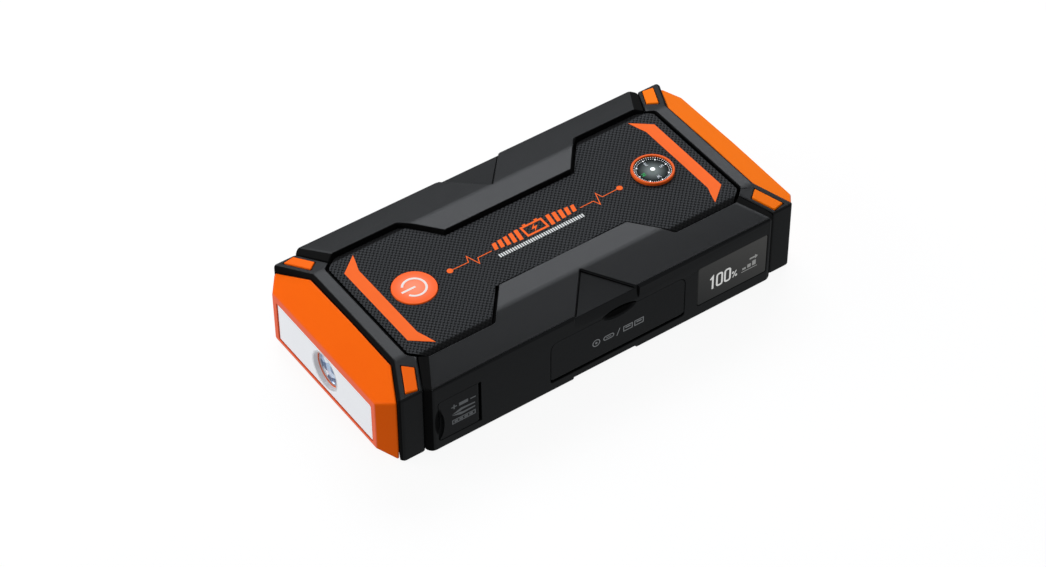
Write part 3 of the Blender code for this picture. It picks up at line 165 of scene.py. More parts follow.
class Look:
    """A material under construction, with its shader and its object coordinates."""

    def __init__(self, name):
        self.material = bpy.data.materials.new(name)
        self.material.use_nodes = True
        self.tree = self.material.node_tree
        self.shader = self.tree.nodes["Principled BSDF"]
        self.place = self.node("ShaderNodeTexCoord").outputs["Object"]

    def node(self, kind, **settings):
        """Adds a node and sets its properties."""
        made = self.tree.nodes.new(kind)
        for key, value in settings.items():
            setattr(made, key, value)
        return made

    def feed(self, socket, value):
        """Links a socket, or sets a plain value."""
        if isinstance(value, bpy.types.NodeSocket):
            self.tree.links.new(value, socket)
        elif isinstance(value, tuple) and len(value) == 3 and socket.type == "RGBA":
            socket.default_value = (*value, 1.0)
        else:
            socket.default_value = value

    def math(self, operation, first, second=0.0, third=0.0):
        """The result of a sum on numbers or sockets."""
        made = self.node("ShaderNodeMath", operation=operation)
        for socket, value in zip(made.inputs, (first, second, third)):
            self.feed(socket, value)
        return made.outputs[0]

    def axis(self, name):
        """The place along X, Y or Z."""
        split = self.node("ShaderNodeSeparateXYZ")
        self.feed(split.inputs[0], self.place)
        return split.outputs[name]

    def noise(self, scale, detail=2.0, stretch=(1, 1, 1)):
        """Soft noise between 0 and 1."""
        mapping = self.node("ShaderNodeMapping")
        self.feed(mapping.inputs["Vector"], self.place)
        mapping.inputs["Scale"].default_value = stretch
        made = self.node("ShaderNodeTexNoise")
        self.feed(made.inputs["Vector"], mapping.outputs[0])
        made.inputs["Scale"].default_value = scale
        made.inputs["Detail"].default_value = detail
        return made.outputs["Fac"]

    def span(self, value, low, high, to_low=0.0, to_high=1.0, smooth=False):
        """Maps one range onto another and clamps it there."""
        made = self.node("ShaderNodeMapRange")
        if smooth:
            made.interpolation_type = "SMOOTHSTEP"
        self.feed(made.inputs["Value"], value)
        made.inputs["From Min"].default_value = low
        made.inputs["From Max"].default_value = high
        made.inputs["To Min"].default_value = to_low
        made.inputs["To Max"].default_value = to_high
        return made.outputs["Result"]

    def mix(self, factor, first, second):
        """A colour between two others."""
        made = self.node("ShaderNodeMix", data_type="RGBA")
        self.feed(made.inputs["Factor"], factor)
        self.feed(made.inputs[6], first)
        self.feed(made.inputs[7], second)
        return made.outputs[2]

    def ellipsoid(self, middle, radii):
        """One deep inside an ellipsoid, falling to zero at its skin."""
        shift = self.node("ShaderNodeVectorMath", operation="SUBTRACT")
        self.feed(shift.inputs[0], self.place)
        shift.inputs[1].default_value = middle
        shrink = self.node("ShaderNodeVectorMath", operation="DIVIDE")
        self.feed(shrink.inputs[0], shift.outputs[0])
        shrink.inputs[1].default_value = radii
        reach = self.node("ShaderNodeVectorMath", operation="LENGTH")
        self.feed(reach.inputs[0], shrink.outputs[0])
        return self.span(reach.outputs["Value"], 0.7, 1.0, 1.0, 0.0, smooth=True)

    def beyond(self, edges):
        """One beyond every edge, each given as (share of |x|, share of |y|, start)."""
        x = self.math("ABSOLUTE", self.axis("X"))
        y = self.math("ABSOLUTE", self.axis("Y"))
        least = 1.0
        for share_x, share_y, start in edges:
            reach = self.math("MULTIPLY_ADD", x, share_x, -start)
            least = self.math("MINIMUM", self.math("MULTIPLY_ADD", y, share_y, reach), least)
        return self.span(least, 0.0, 0.2 * MM, smooth=True)

    def in_recess(self):
        """One on the walls of the panel's recess, below the case's flat top and its slopes, where shade
        is painted.
        """
        x = self.math("ABSOLUTE", self.axis("X"))
        y = self.math("ABSOLUTE", self.axis("Y"))
        past_flat = self.math("MAXIMUM", self.math("SUBTRACT", y, FLAT_HALF_WIDTH), 0.0)
        surface = self.math("MULTIPLY_ADD", past_flat, -SLOPE_FALL, CAD_HIGH.z - 0.28 * MM)
        below = self.math("SUBTRACT", surface, self.axis("Z"))
        waist = self.math("SUBTRACT", 28.4 * MM, y)
        past_waist = self.math("SUBTRACT", x, 20.0 * MM)
        ends = self.math("MINIMUM", past_waist, self.math("SUBTRACT", 33.25 * MM, y))
        least = self.math("MINIMUM", self.math("MAXIMUM", waist, ends), below)
        return self.span(least, 0.0, 0.1 * MM, smooth=True)

    def colour(self, value):
        """Sets or links the base colour."""
        self.feed(self.shader.inputs["Base Color"], value)

    def roughness(self, value):
        """Links the roughness."""
        self.feed(self.shader.inputs["Roughness"], value)

    def bump(self, height, distance):
        """Raises the surface by a height socket, up to a distance."""
        made = self.node("ShaderNodeBump")
        made.inputs["Strength"].default_value = 1.0
        made.inputs["Distance"].default_value = distance
        self.feed(made.inputs["Height"], height)
        self.feed(self.shader.inputs["Normal"], made.outputs[0])

    def set(self, **values):
        """Sets the shader's plain values."""
        names = {
            "roughness": "Roughness",
            "metallic": "Metallic",
            "specular": "Specular IOR Level",
            "glow": "Emission Strength",
        }
        for key, value in values.items():
            self.shader.inputs[names[key]].default_value = value


def moulded(
    name,
    colour,
    roughness,
    specular=0.5,
    grain=0.012 * MM,
    tone=0.12,
    shade_hollows=(),
    edges=(),
    recess=False,
):
    """Moulded plastic or rubber: slow drifts of tone, a fine eroded grain and a slightly uneven gloss.

    Inside the shade hollows, given as (middle, radii), the surface is painted black and dull: painted
    shade, as deep in a finger notch.
    So is the part beyond all the edges, each (share of |x|, share of |y|, start), and the recess's
    walls, where shade falls.
    """
    look = Look(name)
    darker = tuple(channel * (1 - tone) for channel in colour)
    lighter = tuple(channel * (1 + tone) for channel in colour)
    shade = look.mix(look.noise(55.0, 3.0), darker, lighter)
    fine = look.noise(2600.0, 2.0)
    gloss = look.span(fine, 0.3, 0.7, roughness - 0.06, roughness + 0.06)
    dark = [look.ellipsoid(middle, radii) for middle, radii in shade_hollows]
    if edges:
        dark.append(look.beyond(edges))
    if recess:
        dark.append(look.in_recess())
    # painted shade: each mask turns the colour black and the gloss dull
    for inside in dark:
        shade = look.mix(inside, shade, PAINTED_SHADE_BLACK)
        gloss = look.math("MULTIPLY_ADD", inside, 1.0 - roughness, gloss)
    look.colour(shade)
    look.roughness(gloss)
    look.set(specular=specular)
    look.bump(fine, grain)
    return look.material


def metal(name, colour, roughness, stretch=(1, 1, 1)):
    """Metal with a fine drawn texture along the unstretched axes."""
    look = Look(name)
    drawn = look.noise(900.0, 3.0, stretch)
    look.colour(look.mix(drawn, tuple(c * 0.85 for c in colour), colour))
    look.roughness(look.span(drawn, 0.3, 0.7, roughness - 0.08, roughness + 0.1))
    look.set(metallic=1.0)
    look.bump(drawn, 0.004 * MM)
    return look.material


def woven(name):
    """The inlay's coarse weave: threads at 45 degrees to the case, over and under, with dark gaps."""
    pitch = 1.38 * MM
    look = Look(name)
    turned = look.node("ShaderNodeMapping")
    look.feed(turned.inputs["Vector"], look.place)
    turned.inputs["Rotation"].default_value = (0, 0, math.radians(45))
    turned.inputs["Scale"].default_value = (1 / pitch,) * 3
    split = look.node("ShaderNodeSeparateXYZ")
    look.feed(split.inputs[0], turned.outputs[0])
    u, v = split.outputs["X"], split.outputs["Y"]
    wave_u = look.math("SINE", look.math("MULTIPLY", u, math.pi))
    wave_v = look.math("SINE", look.math("MULTIPLY", v, math.pi))
    across_u = look.math("ABSOLUTE", wave_u)
    across_v = look.math("ABSOLUTE", wave_v)
    checker = look.math("MULTIPLY", wave_u, wave_v)
    over = look.span(checker, -0.4, 0.4, 0.55, 1.0, smooth=True)
    under = look.span(checker, -0.4, 0.4, 1.0, 0.55, smooth=True)
    warp = look.math("MULTIPLY", across_u, over)
    weft = look.math("MULTIPLY", across_v, under)
    height = look.math("MAXIMUM", warp, weft)
    fibre = look.noise(1500.0, 2.0)
    crown = look.span(height, 0.3, 0.95, 0.0, 1.0, smooth=True)
    shade = look.math("MULTIPLY", crown, look.span(fibre, 0.2, 0.8, 0.75, 1.1))
    # painted shade: the weave turns near black where the panel falls below its top, towards the walls
    # round it
    level = look.span(look.axis("Z"), PANEL_TOP - 0.45 * MM, PANEL_TOP - 0.05 * MM, smooth=True)
    threads = look.mix(shade, (0.003, 0.0033, 0.0036), (0.046, 0.048, 0.051))
    look.colour(look.mix(level, (0.0012, 0.0013, 0.0014), threads))
    look.roughness(look.span(height, 0.2, 1.0, 0.85, 0.6))
    look.set(specular=0.08)
    look.bump(look.math("ADD", height, look.math("MULTIPLY", fibre, 0.1)), 0.12 * MM)
    return look.material


def glow_print(name, colour, strength):
    """Ink or a lit mark, a little uneven in tone; where no lamp lies behind it, its glow is painted
    light.
    """
    look = Look(name)
    tone = look.noise(400.0)
    shade = look.mix(tone, tuple(c * 0.92 for c in colour), colour)
    look.colour(shade)
    look.set(roughness=0.5, specular=0.1)
    if strength:
        look.feed(look.shader.inputs["Emission Color"], shade)
        look.set(glow=strength)
    look.bump(tone, 0.004 * MM)
    return look.material


def clear(name, tint, mirror):
    """Clear plastic: see-through head on, with a mirror share that starts near grazing."""
    look = Look(name)
    look.tree.nodes.remove(look.shader)
    through = look.node("ShaderNodeBsdfTransparent")
    through.inputs["Color"].default_value = (*tint, 1.0)
    gloss = look.node("ShaderNodeBsdfGlossy")
    look.feed(gloss.inputs["Roughness"], look.span(look.noise(300.0), 0.3, 0.7, 0.03, 0.06))
    facing = look.node("ShaderNodeLayerWeight").outputs["Facing"]
    share = look.node("ShaderNodeMixShader")
    look.feed(share.inputs[0], look.span(facing, 0.55, 1.0, 0.0, mirror, smooth=True))
    look.feed(share.inputs[1], through.outputs[0])
    look.feed(share.inputs[2], gloss.outputs[0])
    look.feed(look.tree.nodes["Material Output"].inputs["Surface"], share.outputs[0])
    return look.material


def cap_finish(name):
    """Satin orange with a faint painted glow; painted light makes the rear cap paler and yellower than
    the lamp end, and a painted sheen makes the end face round the lamp salmon.
    """
    look = Look(name)
    tone = look.noise(45.0, 3.0)
    along = look.span(look.axis("X"), CAD_LOW.x, CAD_HIGH.x)
    lamp_end = look.mix(tone, (0.94, 0.122, 0.001), (1.0, 0.142, 0.002))
    # painted light: the rear cap is a paler, yellower orange than the lamp end
    body = look.mix(along, lamp_end, (1.0, 0.19, 0.002))
    # painted sheen: the last 0.35 mm at the lamp end is salmon and glows strongly
    reach = look.span(look.axis("X"), CAD_LOW.x + 0.35 * MM, CAD_LOW.x + 0.1 * MM)
    look.colour(look.mix(reach, body, (0.8, 0.14, 0.06)))
    look.feed(look.shader.inputs["Emission Color"], look.mix(reach, body, (2.6, 0.55, 0.38)))
    fine = look.noise(2400.0)
    look.roughness(look.span(fine, 0.3, 0.7, 0.42, 0.52))
    # a faint painted glow over the whole cap
    look.set(specular=0.06, glow=0.08)
    look.bump(fine, 0.008 * MM)
    return look.material


def button_finish(name):
    """Orange, paler towards the middle, with a faint painted glow of the same colours."""
    look = Look(name)
    offset = look.node("ShaderNodeVectorMath", operation="DISTANCE")
    look.feed(offset.inputs[0], look.place)
    offset.inputs[1].default_value = (BUTTON_MIDDLE.x, BUTTON_MIDDLE.y, BUTTON_HIGH.z)
    away = look.span(offset.outputs["Value"], 1.5 * MM, 8.2 * MM, smooth=True)
    shade = look.mix(away, (1.0, 0.27, 0.14), (1.0, 0.125, 0.012))
    look.colour(shade)
    # painted glow: the button emits its own colours, most in the paler middle
    look.feed(look.shader.inputs["Emission Color"], shade)
    fine = look.noise(1800.0)
    look.roughness(look.span(fine, 0.3, 0.7, 0.28, 0.36))
    look.set(glow=0.1, specular=0.06)
    look.bump(fine, 0.004 * MM)
    return look.material


def dial_finish(name):
    """The compass card: dark green-grey, made paler in the middle by a painted reflection of the dome.
    """
    look = Look(name)
    offset = look.node("ShaderNodeVectorMath", operation="DISTANCE")
    look.feed(offset.inputs[0], look.place)
    offset.inputs[1].default_value = (CARD_MIDDLE.x, CARD_MIDDLE.y, CARD_HIGH.z)
    # painted reflection: the dome's pale glow, baked into the card as a paler middle
    away = look.span(offset.outputs["Value"], 0.0, 6.4 * MM, smooth=True)
    look.colour(look.mix(away, (0.26, 0.285, 0.26), (0.006, 0.009, 0.008)))
    look.set(roughness=0.5, specular=0.04)
    look.bump(look.noise(700.0), 0.004 * MM)
    return look.material


def display_finish(name):
    """The display laminated to its window: a dim backlight, stronger towards the upper corner."""
    look = Look(name)
    along = look.span(look.axis("X"), WINDOW_LOW.x, WINDOW_HIGH.x)
    up = look.span(look.axis("Z"), WINDOW_LOW.z, WINDOW_HIGH.z)
    lit = look.math("MULTIPLY", look.math("ADD", along, up), 0.5)
    cells = look.noise(1800.0)
    level = look.math("MULTIPLY", lit, look.span(cells, 0.3, 0.7, 0.9, 1.0))
    shade = look.mix(level, (0.014, 0.0145, 0.0145), (0.055, 0.054, 0.052))
    look.colour(look.mix(cells, (0.008, 0.008, 0.008), (0.012, 0.012, 0.012)))
    look.feed(look.shader.inputs["Emission Color"], shade)
    look.set(glow=0.8, roughness=0.3, specular=0.15)
    return look.material


def reflector_finish(name):
    """Bright reflector whose front tube is plain satin grey, lightened by a painted glow."""
    look = Look(name)
    deep = look.span(look.axis("X"), -93.66 * MM, -93.6 * MM)
    tube = (0.45, 0.45, 0.46)
    look.colour(look.mix(deep, tube, (0.85, 0.88, 0.92)))
    # painted glow: the front tube emits its grey, the deep chrome nothing
    look.feed(look.shader.inputs["Emission Color"], look.mix(deep, tube, (0.0, 0.0, 0.0)))
    look.set(glow=0.5)
    look.feed(look.shader.inputs["Metallic"], deep)
    uneven = look.math("MULTIPLY", look.noise(500.0), 0.04)
    look.roughness(look.math("ADD", look.span(deep, 0, 1, 0.45, 0.1), uneven))
    return look.material


def lens_finish(name):
    """Frosted white diffuser with slow drifts of tone, lightened by a painted glow of its own colour.
    """
    look = Look(name)
    tone = look.noise(35.0, 3.0)
    shade = look.mix(tone, (0.79, 0.8, 0.83), (0.85, 0.86, 0.88))
    look.colour(shade)
    look.feed(look.shader.inputs["Emission Color"], shade)
    fine = look.noise(1500.0)
    look.roughness(look.span(fine, 0.3, 0.7, 0.3, 0.42))
    # painted glow: the diffuser emits its own colour
    look.set(glow=0.3, specular=0.2)
    look.bump(fine, 0.005 * MM)
    return look.material


def optic_finish(name):
    """A cut optic: painted reflections as broken cells of pale and deep blue, with painted white glints
    and a painted glow.
    """
    look = Look(name)
    cells = look.node("ShaderNodeTexVoronoi")
    look.feed(cells.inputs["Vector"], look.place)
    cells.inputs["Scale"].default_value = 260.0
    split = look.node("ShaderNodeSeparateXYZ")
    look.feed(split.inputs[0], cells.outputs["Color"])
    # painted reflections: pale and deep blue cells, white glints, and a glow of the same colours
    pale = look.span(split.outputs["X"], 0.15, 0.75, smooth=True)
    shade = look.mix(pale, (0.05, 0.1, 0.22), (0.5, 0.62, 0.78))
    painted_glint = look.span(split.outputs["Y"], 0.72, 0.8)
    shade = look.mix(painted_glint, shade, (1.0, 1.0, 1.0))
    look.colour(shade)
    look.feed(look.shader.inputs["Emission Color"], shade)
    look.roughness(look.span(split.outputs["Z"], 0.0, 1.0, 0.08, 0.2))
    look.set(glow=0.4, metallic=0.6)
    return look.material


def node_finishes():
    """The finishes by the name of the CAD nodes' material slots."""
    # painted shade: black painted deep in the port cover's and the jumper cover's finger notches
    port_notch = ((NAIL_X, NEAR_FACE, PORT_HIGH.z - 0.2 * MM), (8.0 * MM, 4.0 * MM, 2.6 * MM))
    jumper_notch = ((JUMPER_LOW.x, NEAR_FACE, JUMPER_MIDDLE), (2.0 * MM, 4.0 * MM, 7.5 * MM))
    notch_shades = (port_notch, jumper_notch)
    # painted shade: black at the dark end of the sunk triangle's fade, and past a slanting line at each
    # end of the housing
    fade_end_shade = ((14.7 * MM, CAD_LOW.y, 31.0 * MM), (0.7 * MM, 1.8 * MM, 3.4 * MM))
    shell = {"shade_hollows": (*notch_shades, fade_end_shade), "edges": [(0.8675, -0.4976, 45.1 * MM)], "recess": True}
    # painted shade: black on the bumpers' faces beside the caps
    beside_cap_shade = [(1.0, 0.0, 82.4 * MM), (0.894, -0.447, 61.31 * MM)]
    shell_colour, bumper_colour = (0.0055, 0.006, 0.0066), (0.0054, 0.0058, 0.0064)
    cover_colour = (0.0066, 0.007, 0.0076)
    return {
        "shell_black": moulded("shell_black_look", shell_colour, 0.38, 0.2, **shell),
        "bumper_black": moulded("bumper_black_look", bumper_colour, 0.4, 0.2, edges=beside_cap_shade),
        "cap_orange": cap_finish("cap_orange_look"),
        "panel_weave": woven("panel_weave_look"),
        "cover_rubber": moulded("cover_rubber_look", cover_colour, 0.42, 0.2, shade_hollows=notch_shades),
        "lens_white": lens_finish("lens_white_look"),
        "clear_lens": clear("clear_lens_look", (0.97, 0.985, 1.0), 0.5),
        "reflector_chrome": reflector_finish("reflector_look"),
        "button_orange": button_finish("button_look"),
        "display_glass": display_finish("display_look"),
        "dial_black": dial_finish("dial_look"),
        "board_green": moulded("board_look", (0.01, 0.09, 0.035), 0.4),
        "steel": metal("steel_look", (0.62, 0.62, 0.64), 0.28, (1, 1, 0.1)),
        "brass": metal("brass_look", (0.78, 0.56, 0.22), 0.25),
        "copper": metal("copper_look", (0.85, 0.42, 0.22), 0.3, (1, 0.1, 1)),
        "socket_blue": moulded("socket_blue_look", (0.015, 0.07, 0.35), 0.45),
        "foil_silver": metal("foil_look", (0.72, 0.72, 0.74), 0.35),
        "foam_grey": moulded("foam_look", (0.05, 0.05, 0.052), 0.95, 0.2, 0.15 * MM),
        "lead_red": moulded("lead_red_look", (0.55, 0.012, 0.01), 0.45),
        "lead_black": moulded("lead_black_look", (0.01, 0.01, 0.01), 0.45),
        "rubber_grey": moulded("foot_look", (0.02, 0.02, 0.021), 0.85, 0.3, 0.03 * MM),
        "emitter_yellow": moulded("emitter_look", (0.85, 0.7, 0.12), 0.4),
        "silicone_white": moulded("silicone_look", (0.75, 0.75, 0.73), 0.5),
    }


def detail_finishes():
    """The finishes of the marks, seals and other added details."""
    return {
        # a faint painted glow on the orange print
        "decal": glow_print("decal_look", (1.0, 0.14, 0.006), 0.08),
        "white_print": glow_print("white_print_look", (0.82, 0.83, 0.82), 0.0),
        # a faint painted glow on the button's power sign
        "sign_white": glow_print("sign_white_look", (0.86, 0.78, 0.74), 0.15),
        "figure_white": glow_print("figure_white_look", (0.75, 0.75, 0.73), 0.5),
        "figure_grey": glow_print("figure_grey_look", (0.3, 0.3, 0.29), 0.5),
        # painted shade: the dark red line round the lamp's diffuser, with a faint painted glow
        "lens_seal": glow_print("lens_rim_shade_look", (0.42, 0.05, 0.014), 0.1),
        # painted glow: a strong glow on the compass ticks and the jewel
        "lit_white": glow_print("painted_glow_white_look", (0.9, 0.9, 0.88), 0.9),
        # painted glow on the port and jumper icons' print
        "grey_print": glow_print("grey_print_look", (0.2, 0.205, 0.21), 0.35),
        "faint_print": glow_print("faint_print_look", (0.115, 0.12, 0.125), 0.35),
        "bezel": moulded("bezel_look", (0.92, 0.125, 0.012), 0.38, 0.06),
        # painted shade black for the shadow lines, and the print of the label's border line
        "seal": moulded("seal_look", (0.0006, 0.0006, 0.0007), 0.8, 0.05, tone=0.2),
        "optic": optic_finish("optic_look"),
        "label": moulded("label_look", (0.12, 0.12, 0.125), 0.4, 0.3),
        # painted glow on the green north letter
        "north_green": glow_print("north_look", (0.02, 0.5, 0.1), 0.2),
        "base": moulded("base_look", (0.0065, 0.007, 0.0077), 0.45, 0.25),
    }


# Mesh helpers


def on_top(height):
    """Places a mark's (across, up) points on a level face, with its thickness upwards."""
    return lambda u, v, h: Vector((u, v, height + h))


def on_near_wall(depth=0.0):
    """Places a mark's points on the near wall, with its thickness outwards."""
    return lambda u, v, h: Vector((u, NEAR_FACE + depth - h, v))


def on_lamp_end(x):
    """Places a mark's points on a face at the lamp end, with its thickness outwards."""
    return lambda u, v, h: Vector((x - h, u, v))


def arc(middle, radius, start, end, steps):
    """Points on a circle between two angles in degrees."""
    points = []
    for step in range(steps + 1):
        angle = math.radians(start + (end - start) * step / steps)
        points.append((middle[0] + radius * math.cos(angle), middle[1] + radius * math.sin(angle)))
    return points


def add_plate(shape, outline, place, thickness, base=0.0):
    """Adds a thin plate of any outline."""
    low = [shape.verts.new(place(u, v, base)) for u, v in outline]
    high = [shape.verts.new(place(u, v, base + thickness)) for u, v in outline]
    shape.faces.new(low)
    shape.faces.new(high)
    for i in range(len(outline)):
        shape.faces.new((low[i - 1], low[i], high[i], high[i - 1]))


def add_ribbon(shape, points, width, place, thickness, closed=False, base=0.0):
    """Adds a flat line of even width with mitred corners."""
    stations = []
    count = len(points)
    for i, point in enumerate(points):
        here = Vector(point)
        before = Vector(points[i - 1]) if closed or i else None
        after = Vector(points[(i + 1) % count]) if closed or i < count - 1 else None
        into = (here - before).normalized() if before is not None else None
        out = (after - here).normalized() if after is not None else None
        into = into if into is not None else out
        out = out if out is not None else into
        left = Vector((-into.y - out.y, into.x + out.x)).normalized()
        reach = width / 2 / max(left.dot(Vector((-out.y, out.x))), 0.35)
        ends = [here + left * reach, here - left * reach]
        levels = (base, base + thickness)
        stations.append([shape.verts.new(place(p.x, p.y, h)) for h in levels for p in ends])
    spans = count if closed else count - 1
    for i in range(spans):
        a, b = stations[i], stations[(i + 1) % count]
        for first, second in ((0, 1), (3, 2), (1, 3), (2, 0)):
            shape.faces.new((a[first], a[second], b[second], b[first]))
    if not closed:
        for station in (stations[0], stations[-1]):
            shape.faces.new((station[0], station[1], station[3], station[2]))


def turned(shape, profile, steps, axis="Z", centre=(0, 0, 0)):
    """Adds a turned ring of a closed (radius, along) profile."""
    rings = []
    for step in range(steps):
        angle = math.tau * step / steps
        ring = []
        for radius, along in profile:
            c, s = radius * math.cos(angle), radius * math.sin(angle)
            spot = Vector((c, s, along)) if axis == "Z" else Vector((along, c, s))
            ring.append(shape.verts.new(spot + Vector(centre)))
        rings.append(ring)
    for step in range(steps):
        a, b = rings[step - 1], rings[step]
        for i in range(len(profile)):
            shape.faces.new((a[i - 1], a[i], b[i], b[i - 1]))


def piece(name, shape, finish, body, smooth=None):
    """Turns a bmesh into a piece that rides on a body."""
    bmesh.ops.remove_doubles(shape, verts=shape.verts, dist=1e-8)
    bmesh.ops.recalc_face_normals(shape, faces=shape.faces)
    mesh = bpy.data.meshes.new(name)
    shape.to_mesh(mesh)
    shape.free()
    made = bpy.data.objects.new(name, mesh)
    bpy.context.scene.collection.objects.link(made)
    mesh.materials.append(finish)
    if smooth:
        mesh.shade_smooth()
        mesh.set_sharp_from_angle(angle=math.radians(smooth))
    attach(made, body)
    return made


# The shells, refined from the CAD nodes


def is_fold(edge):
    """A shallow fold between two faces that look up, as between a flat top and its slope."""
    if len(edge.link_faces) != 2 or not edge.is_convex:
        return False
    tilt = math.degrees(edge.calc_face_angle(0.0))
    return 4 < tilt < 25 and all(face.normal.z > 0.9 for face in edge.link_faces)


def is_under(edge):
    """An edge on a face that looks straight down."""
    return any(face.normal.z < -0.9 for face in edge.link_faces)


def is_corner(edge):
    """A sharp outer edge that isn't on the underside."""
    if len(edge.link_faces) != 2 or not edge.is_convex or is_under(edge):
        return False
    return math.degrees(edge.calc_face_angle(0.0)) > 28


def refined(node, name, body, finish, fold, corner):
    """A shell that stands for a CAD node: its shape, with flat faces whole and edges rounded."""
    shape = bmesh.new()
    shape.from_mesh(NODES[node].data)
    bmesh.ops.remove_doubles(shape, verts=shape.verts, dist=1e-6)
    shape.normal_update()
    edges = [edge for edge in shape.edges if not is_under(edge)]
    bmesh.ops.dissolve_limit(shape, angle_limit=math.radians(0.6), verts=shape.verts, edges=edges)
    shape.normal_update()
    weight = shape.edges.layers.float.new("bevel_weight_edge")
    for edge in shape.edges:
        if is_fold(edge):
            edge[weight] = 1.0
        elif is_corner(edge):
            edge[weight] = corner / fold
    mesh = bpy.data.meshes.new(name)
    shape.to_mesh(mesh)
    shape.free()
    made = bpy.data.objects.new(name, mesh)
    bpy.context.scene.collection.objects.link(made)
    mesh.materials.append(finish)
    mesh.shade_smooth()
    bevel = made.modifiers.new("rounding", "BEVEL")
    bevel.limit_method = "WEIGHT"
    bevel.width = fold
    bevel.segments = 3
    bevel.use_clamp_overlap = False
    bevel.miter_outer = "MITER_ARC"
    level = made.modifiers.new("level_faces", "WEIGHTED_NORMAL")
    level.keep_sharp = True
    level.weight = 100
    mesh.set_sharp_from_angle(angle=math.radians(35))
    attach(made, body)
    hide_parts(node)
    return made


def dress_nodes(finishes):
    """Gives every CAD node its finish by the name of its material slot."""
    for node in NODES.values():
        plain = node.data.materials[0].name.split(".")[0]
        for slot in node.material_slots:
            slot.material = finishes[plain]
        weld = node.modifiers.new("weld", "WELD")
        weld.merge_threshold = 0.001 * MM
        split = node.modifiers.new("split", "EDGE_SPLIT")
        split.split_angle = math.radians(32)
        level = node.modifiers.new("level_faces", "WEIGHTED_NORMAL")
        level.weight = 100


# Details


def chevrons(finishes):
    """The swept orange bars at both ends of the inlay."""
    for end, name in ((-1, "chevron_front"), (1, "chevron_rear")):
        outer, inner = 72.6 * MM, 67.3 * MM
        tip = (64.6 * MM, 28.0 * MM)
        half = [(outer, 21.5 * MM), tip]
        half += [(66.0 * MM, 23.4 * MM), (66.8 * MM, 21.2 * MM), (inner, 19.8 * MM)]
        outline = [(end * x, y) for x, y in half] + [(end * x, -y) for x, y in reversed(half)]
        shape = bmesh.new()
        add_plate(shape, outline, on_top(PANEL_TOP), 0.12 * MM)
        piece(name, shape, finishes["decal"], "case")


def pulses(finishes):
    """A thin pulse line with a dot at its outer end, on each side of the emblem."""
    trace = [(39.5, -0.2), (31.2, -0.4), (30.1, 2.7), (28.1, -3.3), (26.9, -0.4), (20.6, -0.4)]
    for end, name in ((-1, "pulse_front"), (1, "pulse_rear")):
        points = [(end * x * MM, y * MM) for x, y in trace]
        shape = bmesh.new()
        add_ribbon(shape, points, 0.34 * MM, on_top(PANEL_TOP), PRINT)
        add_plate(shape, arc(points[0], 1.25 * MM, 0, 345, 23), on_top(PANEL_TOP), PRINT * 1.5)
        piece(name, shape, finishes["decal"], "case")


def emblem(finishes):
    """A plain battery sign with a bolt, charge bars on both sides, and a row of white ticks below."""
    shape = bmesh.new()
    top = on_top(PANEL_TOP)
    middle = (0.1 * MM, 0.9 * MM)
    half_x, half_y = 4.6 * MM, 2.5 * MM
    corners = [(-half_x, -half_y), (half_x, -half_y), (half_x, half_y), (-half_x, half_y)]
    case_line = [(middle[0] + x, middle[1] + y) for x, y in corners]
    add_ribbon(shape, case_line, 0.9 * MM, top, PRINT, closed=True)
    for side in (-1, 1):
        post = [(2.0, 2.9), (3.4, 2.9), (3.4, 3.7), (2.0, 3.7)]
        add_plate(shape, [(middle[0] + side * x * MM, middle[1] + y * MM) for x, y in post], top, PRINT)
    bolt = [(1.0, 2.0), (-1.6, -0.4), (-0.1, -0.4), (-1.0, -2.0), (1.6, 0.4), (0.1, 0.4)]
    add_plate(shape, [(middle[0] + x * MM, middle[1] + y * MM) for x, y in bolt], top, PRINT)
    lean, width = 0.45 * MM, 1.7 * MM
    for side in (-1, 1):
        for step in range(5):
            start = middle[0] + side * (7.4 + 2.7 * step) * MM
            half = (2.9 - 0.28 * step) * MM
            low, high = middle[1] - half, middle[1] + half
            left, right = start - width / 2, start + width / 2
            bar = [(left - lean, low), (right - lean, low), (right + lean, high), (left + lean, high)]
            add_plate(shape, bar, top, PRINT)
    piece("emblem", shape, finishes["decal"], "case")
    shape = bmesh.new()
    count, pitch, foot, head = 38, 1.04 * MM, -5.3 * MM, -3.5 * MM
    for step in range(count):
        x = (step - count / 2) * pitch
        add_plate(shape, [(x, foot), (x + 0.6 * MM, foot), (x + 0.6 * MM, head), (x, head)], top, PRINT)
    piece("emblem_ticks", shape, finishes["white_print"], "case")


def power_sign(finishes):
    """The white power sign inlaid in the button, its gap towards the lamp end."""
    shape = bmesh.new()
    top = on_top(BUTTON_HIGH.z - 0.1 * MM)
    middle = (BUTTON_MIDDLE.x, BUTTON_MIDDLE.y)
    add_ribbon(shape, arc(middle, 4.6 * MM, 212, 508, 48), 0.9 * MM, top, 0.12 * MM)
    stem = [(middle[0] - 5.6 * MM, middle[1]), (middle[0] + 0.5 * MM, middle[1])]
    add_ribbon(shape, stem, 0.9 * MM, top, 0.12 * MM)
    piece("power_sign", shape, finishes["sign_white"], "power_button")


# Strokes of the cardinal letters, in shares of their height
LETTERS = {
    "N": [[(0, 0), (0, 1), (0.7, 0), (0.7, 1)]],
    "E": [[(0.65, 0), (0, 0), (0, 1), (0.65, 1)], [(0, 0.5), (0.5, 0.5)]],
    "S": [[(0, 0.05), (0.6, 0), (0.65, 0.45), (0.05, 0.55), (0.05, 0.95), (0.65, 1)]],
    "W": [[(0, 1), (0.22, 0), (0.45, 0.7), (0.68, 0), (0.9, 1)]],
}


